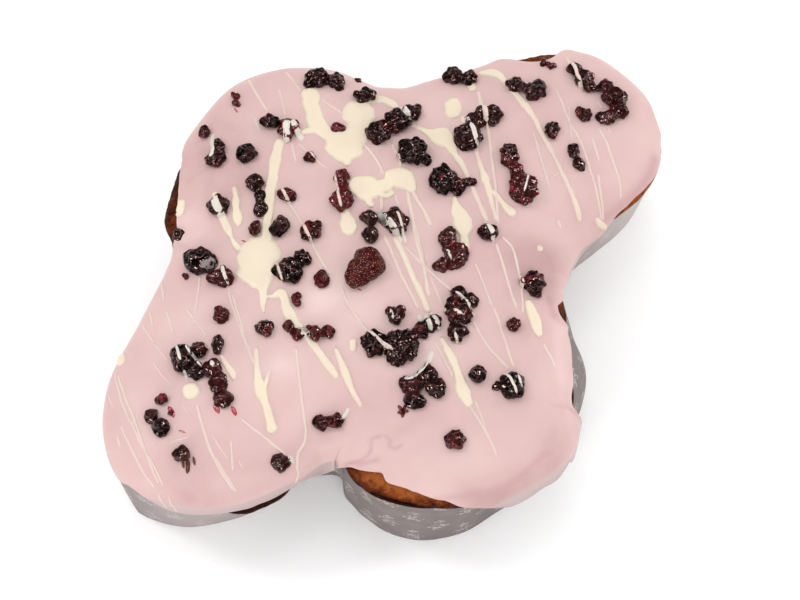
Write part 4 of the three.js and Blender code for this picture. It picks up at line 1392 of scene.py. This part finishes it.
def makePools(ground, own):
    # broad strokes run together, so they are one skin over a fine grid
    look = drizzleLook
    step, soft = look["poolStep"], look["merge"]
    lines = []
    for points in look["pools"]:
        line, length, walked, _, _ = strokeLine(points, ground, look["poolLine"])
        along = np.column_stack([walked, walked * 0])
        waves = softWaves(along, look["wanderLength"][1], own.integers(1e6))
        wide = line[:, 3] * (1 + look["wander"] * waves * (len(points) > 3))
        left = np.minimum(walked, length - walked) - line[:, 3] / 2
        kept = left >= min(0, left.max())
        lines.append(np.column_stack([line[:, :2], wide, line[:, 3]])[kept])
    reached = np.vstack(lines)[:, :2]
    low, high = reached.min(0) - look["poolMargin"], reached.max(0) + look["poolMargin"]
    shape = np.ceil((high - low) / step).astype(int)
    total = np.zeros(shape)
    broad = np.zeros(shape)
    for line in lines:
        nearest = np.full(shape, -3.0)
        for x, y, wide, full in line:
            wide = max(wide, 2 * step)
            a, b = np.floor((np.array([x, y]) - wide - low) / step).astype(int)
            size = int(2 * wide / step) + 3
            gridX, gridY = np.mgrid[a:a + size, b:b + size]
            far = ((gridX * step + low[0] - x) ** 2 + (gridY * step + low[1] - y) ** 2) / (wide / 2) ** 2
            spot = nearest[a:a + size, b:b + size]
            spot[:] = np.maximum(spot, 1 - far)
            spot = broad[a:a + size, b:b + size]
            spot[far < 4] = np.maximum(spot[far < 4], full)
        total += np.exp(nearest / soft)
    gridX, gridY = np.mgrid[0:shape[0], 0:shape[1]]
    places = np.column_stack([gridX.ravel() * step + low[0], gridY.ravel() * step + low[1]])
    uneven, length = look["poolEdge"]
    field = soft * np.log(total).ravel() + uneven * softWaves(places, length, 3)
    inside = (field > 0).reshape(shape)
    cell = inside[:-1, :-1] | inside[1:, :-1] | inside[:-1, 1:] | inside[1:, 1:]
    number = np.arange(places.shape[0]).reshape(shape)
    corners = np.stack([number[:-1, :-1], number[1:, :-1], number[1:, 1:], number[:-1, 1:]], axis=2)[cell]
    used, faces = np.unique(corners, return_inverse=True)
    faces = faces.reshape(-1, 4)
    width = broad.ravel()[used]
    tall = np.clip(look["rise"][0] * width, *look["rise"][1:])
    soon, dip = look["poolRound"]
    inner = np.clip(field[used] / soon, dip, 1)
    rise = tall * (1 - (1 - inner) ** 2)
    top, foot = np.empty((len(used), 3)), np.empty((len(used), 3))
    for k, place in enumerate(places[used]):
        hit = ground.ray_cast(Vector((*place, look["poolProbe"])), Vector((0, 0, -1)))
        if hit[0] is None:
            hit = ground.find_nearest(Vector((*place, form["caseHeight"])))
        up = hit[1] if hit[1].z > 0 else -hit[1]
        top[k] = hit[0] + up * rise[k]
        foot[k] = hit[0] - up * look["poolFoot"]
    edges = np.concatenate([faces[:, [k, (k + 1) % 4]] for k in range(4)])
    codes = edges[:, 0] * len(used) + edges[:, 1]
    # a side wall joins top and foot along edges that only one face has
    border = edges[~np.isin(codes, edges[:, 1] * len(used) + edges[:, 0])]
    sides = [(b, a, a + len(used), b + len(used)) for a, b in border.tolist()]
    allFaces = [tuple(f) for f in (*faces.tolist(), *(faces[:, ::-1] + len(used)).tolist(), *sides)]
    verts = np.vstack([top, foot])
    body = np.tile(smoothStep(width, *look["fullWidth"]), 2)
    values = {"body": body, "cool": np.zeros(len(verts)), "thinned": np.zeros(len(verts))}
    addPiece("creamPools", verts, allFaces, drizzleFinish(), (), values)


def evenStroke(width, *places):
    # a stroke of one width all along
    return [(x, y, width) for x, y in places]


def makeDrizzle(icing, berries):
    look = drizzleLook
    ground = BVHTree.FromPolygons(icing[0].tolist(), icing[1])
    verts, faces = joined([icing, *berries])
    cover = BVHTree.FromPolygons(verts.tolist(), faces)
    own = np.random.default_rng(12)
    made, cool, thinned = [], [], []
    makePools(ground, own)
    for kind in ("threads", "coats", "veils"):
        slim = look["slim"] if kind == "threads" else 1.0
        film = look["film"] if kind != "threads" else None
        for width, *places in look[kind]:
            ribbon = stroke(evenStroke(width * slim, *places), ground, cover, own, True, film)
            made.append(ribbon)
            cool.append(np.full(len(ribbon[0]), float(kind == "coats")))
            thinned.append(np.full(len(ribbon[0]), float(kind == "veils")))
    verts, faces = joined(made)
    values = {
        "body": np.concatenate([m[2] for m in made]),
        "cool": np.concatenate(cool),
        "thinned": np.concatenate(thinned),
    }
    addPiece("creamDrizzle", verts, faces, drizzleFinish(), (), values)


# small bits, juice and stalks
bitLook = {
    "voxel": 0.3,
    "balls": 6,               # that make up a bit
    "ballSpread": (0.2, 0.3),  # usual and greatest, against the bit's size
    "ballSize": (0.4, 0.52),
    "ballStretch": (0.8, 1.2),
    "lumps": (0.3, 1.2),
    # pixel, and size across, down and up in millimetres
    "bits": [
        ((236, 97), (4.2, 2.8, 2.0)), ((236, 105), (3.6, 3.2, 2.2)), ((358, 81), (2.8, 2.2, 1.8)),
        ((544, 63), (3.6, 2.6, 2.0)), ((551, 66.5), (4.4, 2.8, 2.2)),
        ((295, 301), (3.6, 7.0, 3.0)), ((338, 128), (6.0, 4.2, 2.6)), ((186, 277), (2.4, 2.4, 2.0)),
        ((171, 413), (2.2, 4.0, 1.4)), ((403, 411), (2.6, 2.4, 1.6)),
        ((344, 183), (3.0, 5.0, 2.4)),
    ],
    # streaks of red juice: width in pixels, then places
    "juice": [
        (6, (214, 403), (217, 409), (219, 414)), (5, (231, 406), (234, 411), (236, 416)),
        (5, (168, 406), (172, 412), (174, 418)),
        (2.5, (234, 108), (238, 113)), (3, (544, 64), (549, 68)), (2, (241, 240), (246, 242)),
        (2.5, (336, 196), (340, 206)), (2, (357, 288), (362, 291)), (2, (178, 430), (186, 433)),
    ],
    "stain": (150, 26, 52),
    "thinStain": (196, 110, 118),
    # dried stalks: width in pixels, then places
    "stalks": [
        (4, (403, 410), (400, 412), (397, 413)), (4, (403, 410), (403, 414), (402, 418)),
        (4, (403, 410), (406, 411), (409, 412)), (4, (403, 410), (405, 407), (405, 404)),
        (4, (403, 410), (400, 408), (398, 405)), (4, (188, 458), (188, 465), (187, 474)),
        (3, (183, 459), (183, 464), (184, 469)), (3, (193, 456), (194, 461), (195, 466)),
    ],
    "stalk": (118, 54, 24),
    "stalkTip": (52, 20, 14),
    "stalkRise": 0.9,
}


def bitForm(pixel, size, ground, own):
    look = bitLook
    hit = ground.ray_cast(Vector(eye), Vector(pixelRay(*pixel)))
    if hit[0] is None:
        level = icingLook["foldLevel"]
        hit = ground.find_nearest(Vector((*onLevel(*pixel, level), level)))
    ball, faces = ballForm()
    verts, allFaces = [], []
    usual, most = look["ballSpread"]
    for k in range(look["balls"]):
        spot = np.clip(own.normal(0, usual, 3), -most, most) * size
        spread = viewRight * spot[0] + np.array([-viewRight[1], viewRight[0], 0]) * spot[1]
        centre = np.array(hit[0]) + spread + np.array([0, 0, abs(spot[2]) + 0.1 * size[2]])
        allFaces += [tuple(c + len(ball) * k for c in f) for f in faces]
        radius = own.uniform(*look["ballSize"]) * min(size[:2])
        verts.append(centre + ball * radius * own.uniform(*look["ballStretch"], 3))
    made, madeFaces = voxelSkin(np.vstack(verts), allFaces, look["voxel"])
    depth, lump = look["lumps"]
    uneven = roughness(made, lump, 2)
    # the hollows of a bit get painted shade
    tint, deep = np.clip(0.5 + uneven, 0, 1), np.clip(-uneven, 0, 1)
    return made + normals(made, madeFaces) * (depth * uneven)[:, None], madeFaces, tint, deep


def makeBits(icing):
    look = bitLook
    ground = BVHTree.FromPolygons(icing[0].tolist(), icing[1])
    own = np.random.default_rng(4)
    bits = [bitForm(pixel, size, ground, own) for pixel, size in look["bits"]]
    verts, faces = joined(bits)
    values = {"tint": np.concatenate([b[2] for b in bits]), "deep": np.concatenate([b[3] for b in bits])}
    addPiece("berryBits", verts, faces, berryFinish("berryBit"), (), values)
    marks = [stroke(evenStroke(*row), ground, ground, own, False) for row in look["juice"]]
    verts, faces = joined(marks)
    stain = Finish("redJuice", Specular_IOR_Level=0.4)
    stain.colour(stain.ramp(
        stain.grain(1.5, 3), (0.3, tone(*look["stain"])), (0.75, tone(*look["thinStain"]))))
    stain.gloss(stain.span(stain.grain(2, 2), 0.15, 0.3))
    addPiece("berryJuice", verts, faces, stain.material)
    rise = look["stalkRise"]
    stalks = [stroke(evenStroke(*row), ground, ground, own, False, rise) for row in look["stalks"]]
    verts, faces = joined(stalks)
    stalk = Finish("driedStalk", Specular_IOR_Level=0.3, Roughness=0.5)
    stalk.colour(stalk.ramp(
        stalk.grain(2.2, 3), (0.38, tone(*look["stalkTip"])), (0.62, tone(*look["stalk"]))))
    addPiece("driedStalks", verts, faces, stalk.material)


# floor and light
stageLook = {
    "floor": (246, 246, 246),
    "floorPaler": (248, 248, 248),
    "floorReach": 4.0,
    "world": 0.92,
    "glow": 0.07,             # the lit table shines a little
    "aim": (0, 0, 0.05),
    # name, place, size, power, all in metres and watts, and whether it only glints
    "lights": [
        ("key", (-0.55, 0.85, 1.45), 0.36, 5.2, False),
        ("overhead", (0.25, 0.3, 1.9), 0.6, 3.4, False),
        ("back", (0.6, 1.3, 1.0), 0.6, 1.0, False),
        ("right", (1.2, -0.3, 1.2), 0.6, 1.3, False),
        ("front", (-0.3, -1.3, 1.0), 0.6, 2.6, False),
        ("lowRight", (1.5, -0.5, 0.35), 0.36, 4.4, False),
        ("lowLeft", (-1.5, -0.4, 0.35), 0.36, 4.6, False),
        ("glintLeft", (-0.55, 0.85, 1.45), 0.42, 18.0, True),
        ("glintTop", (0.25, 0.3, 1.9), 0.45, 15.0, True),
        ("glintFront", (-0.75, -0.8, 1.3), 0.4, 11.0, True),
        ("glintRight", (0.9, -0.2, 1.3), 0.4, 9.0, True),
        ("glintLowLeft", (-1.5, -0.4, 0.5), 0.4, 10.0, True),
        ("glintLowRight", (1.5, -0.5, 0.5), 0.4, 10.0, True),
    ],
}


def makeStage():
    look = stageLook
    reach = look["floorReach"]
    mesh = bpy.data.meshes.new("floor")
    corners = [(-reach, -reach, 0), (reach, -reach, 0), (reach, reach, 0), (-reach, reach, 0)]
    mesh.from_pydata(corners, [], [(0, 1, 2, 3)])
    finish = Finish("paleFloor", Roughness=0.8, Emission_Strength=look["glow"], Emission_Color=white)
    finish.colour(finish.ramp(
        finish.grain(300, 2), (0.3, tone(*look["floor"])), (0.7, tone(*look["floorPaler"]))))
    mesh.materials.append(finish.material)
    floor = bpy.data.objects.new("floor", mesh)
    bpy.context.collection.objects.link(floor)
    world = bpy.data.worlds.new("studio")
    bpy.context.scene.world = world
    world.use_nodes = True
    world.cycles_visibility.glossy = False   # only the lamps glint
    sky = world.node_tree.nodes["Background"].inputs
    sky["Color"].default_value = white
    sky["Strength"].default_value = look["world"]
    for name, place, size, power, glints in look["lights"]:
        lamp = bpy.data.lights.new(name, "AREA")
        lamp.shape = "DISK"
        lamp.size = size
        lamp.energy = power
        light = bpy.data.objects.new(name, lamp)
        light.location = place
        light.visible_diffuse = not glints
        light.rotation_mode = "QUATERNION"
        light.rotation_quaternion = (Vector(look["aim"]) - Vector(place)).to_track_quat("-Z", "Y")
        bpy.context.collection.objects.link(light)
    bpy.context.scene.view_settings.view_transform = "Standard"
    print("stage set")


edgeRun = edgeFromPixels()
makePaper()
makeCake(edgeRun)
icing = makeIcing(edgeRun)
named = sorted(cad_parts)
wrinkled = [f"dark_berry_{number:02d}" for number in berryLook["wrinkled"]]
dark = [n for n in named if n.startswith("dark_berry") and n not in wrinkled]
red = [n for n in named if n.startswith("red_berry")]
berries = [
    makeBerries("wrinkledBerries", wrinkled, wrinkledBerry, berryFinish("wrinkledSkin")),
    makeBerries("darkBerries", dark, drupeletBerry, berryFinish("darkSkin")),
    makeBerries("redBerries", red, drupeletBerry, berryFinish("redSkin")),
    makeBerries("strawberryFruit", ["strawberry"], strawberryFruit, strawberryFinish(), ()),
]
makeDrizzle(icing, berries)
makeBits(icing)
makeStage()
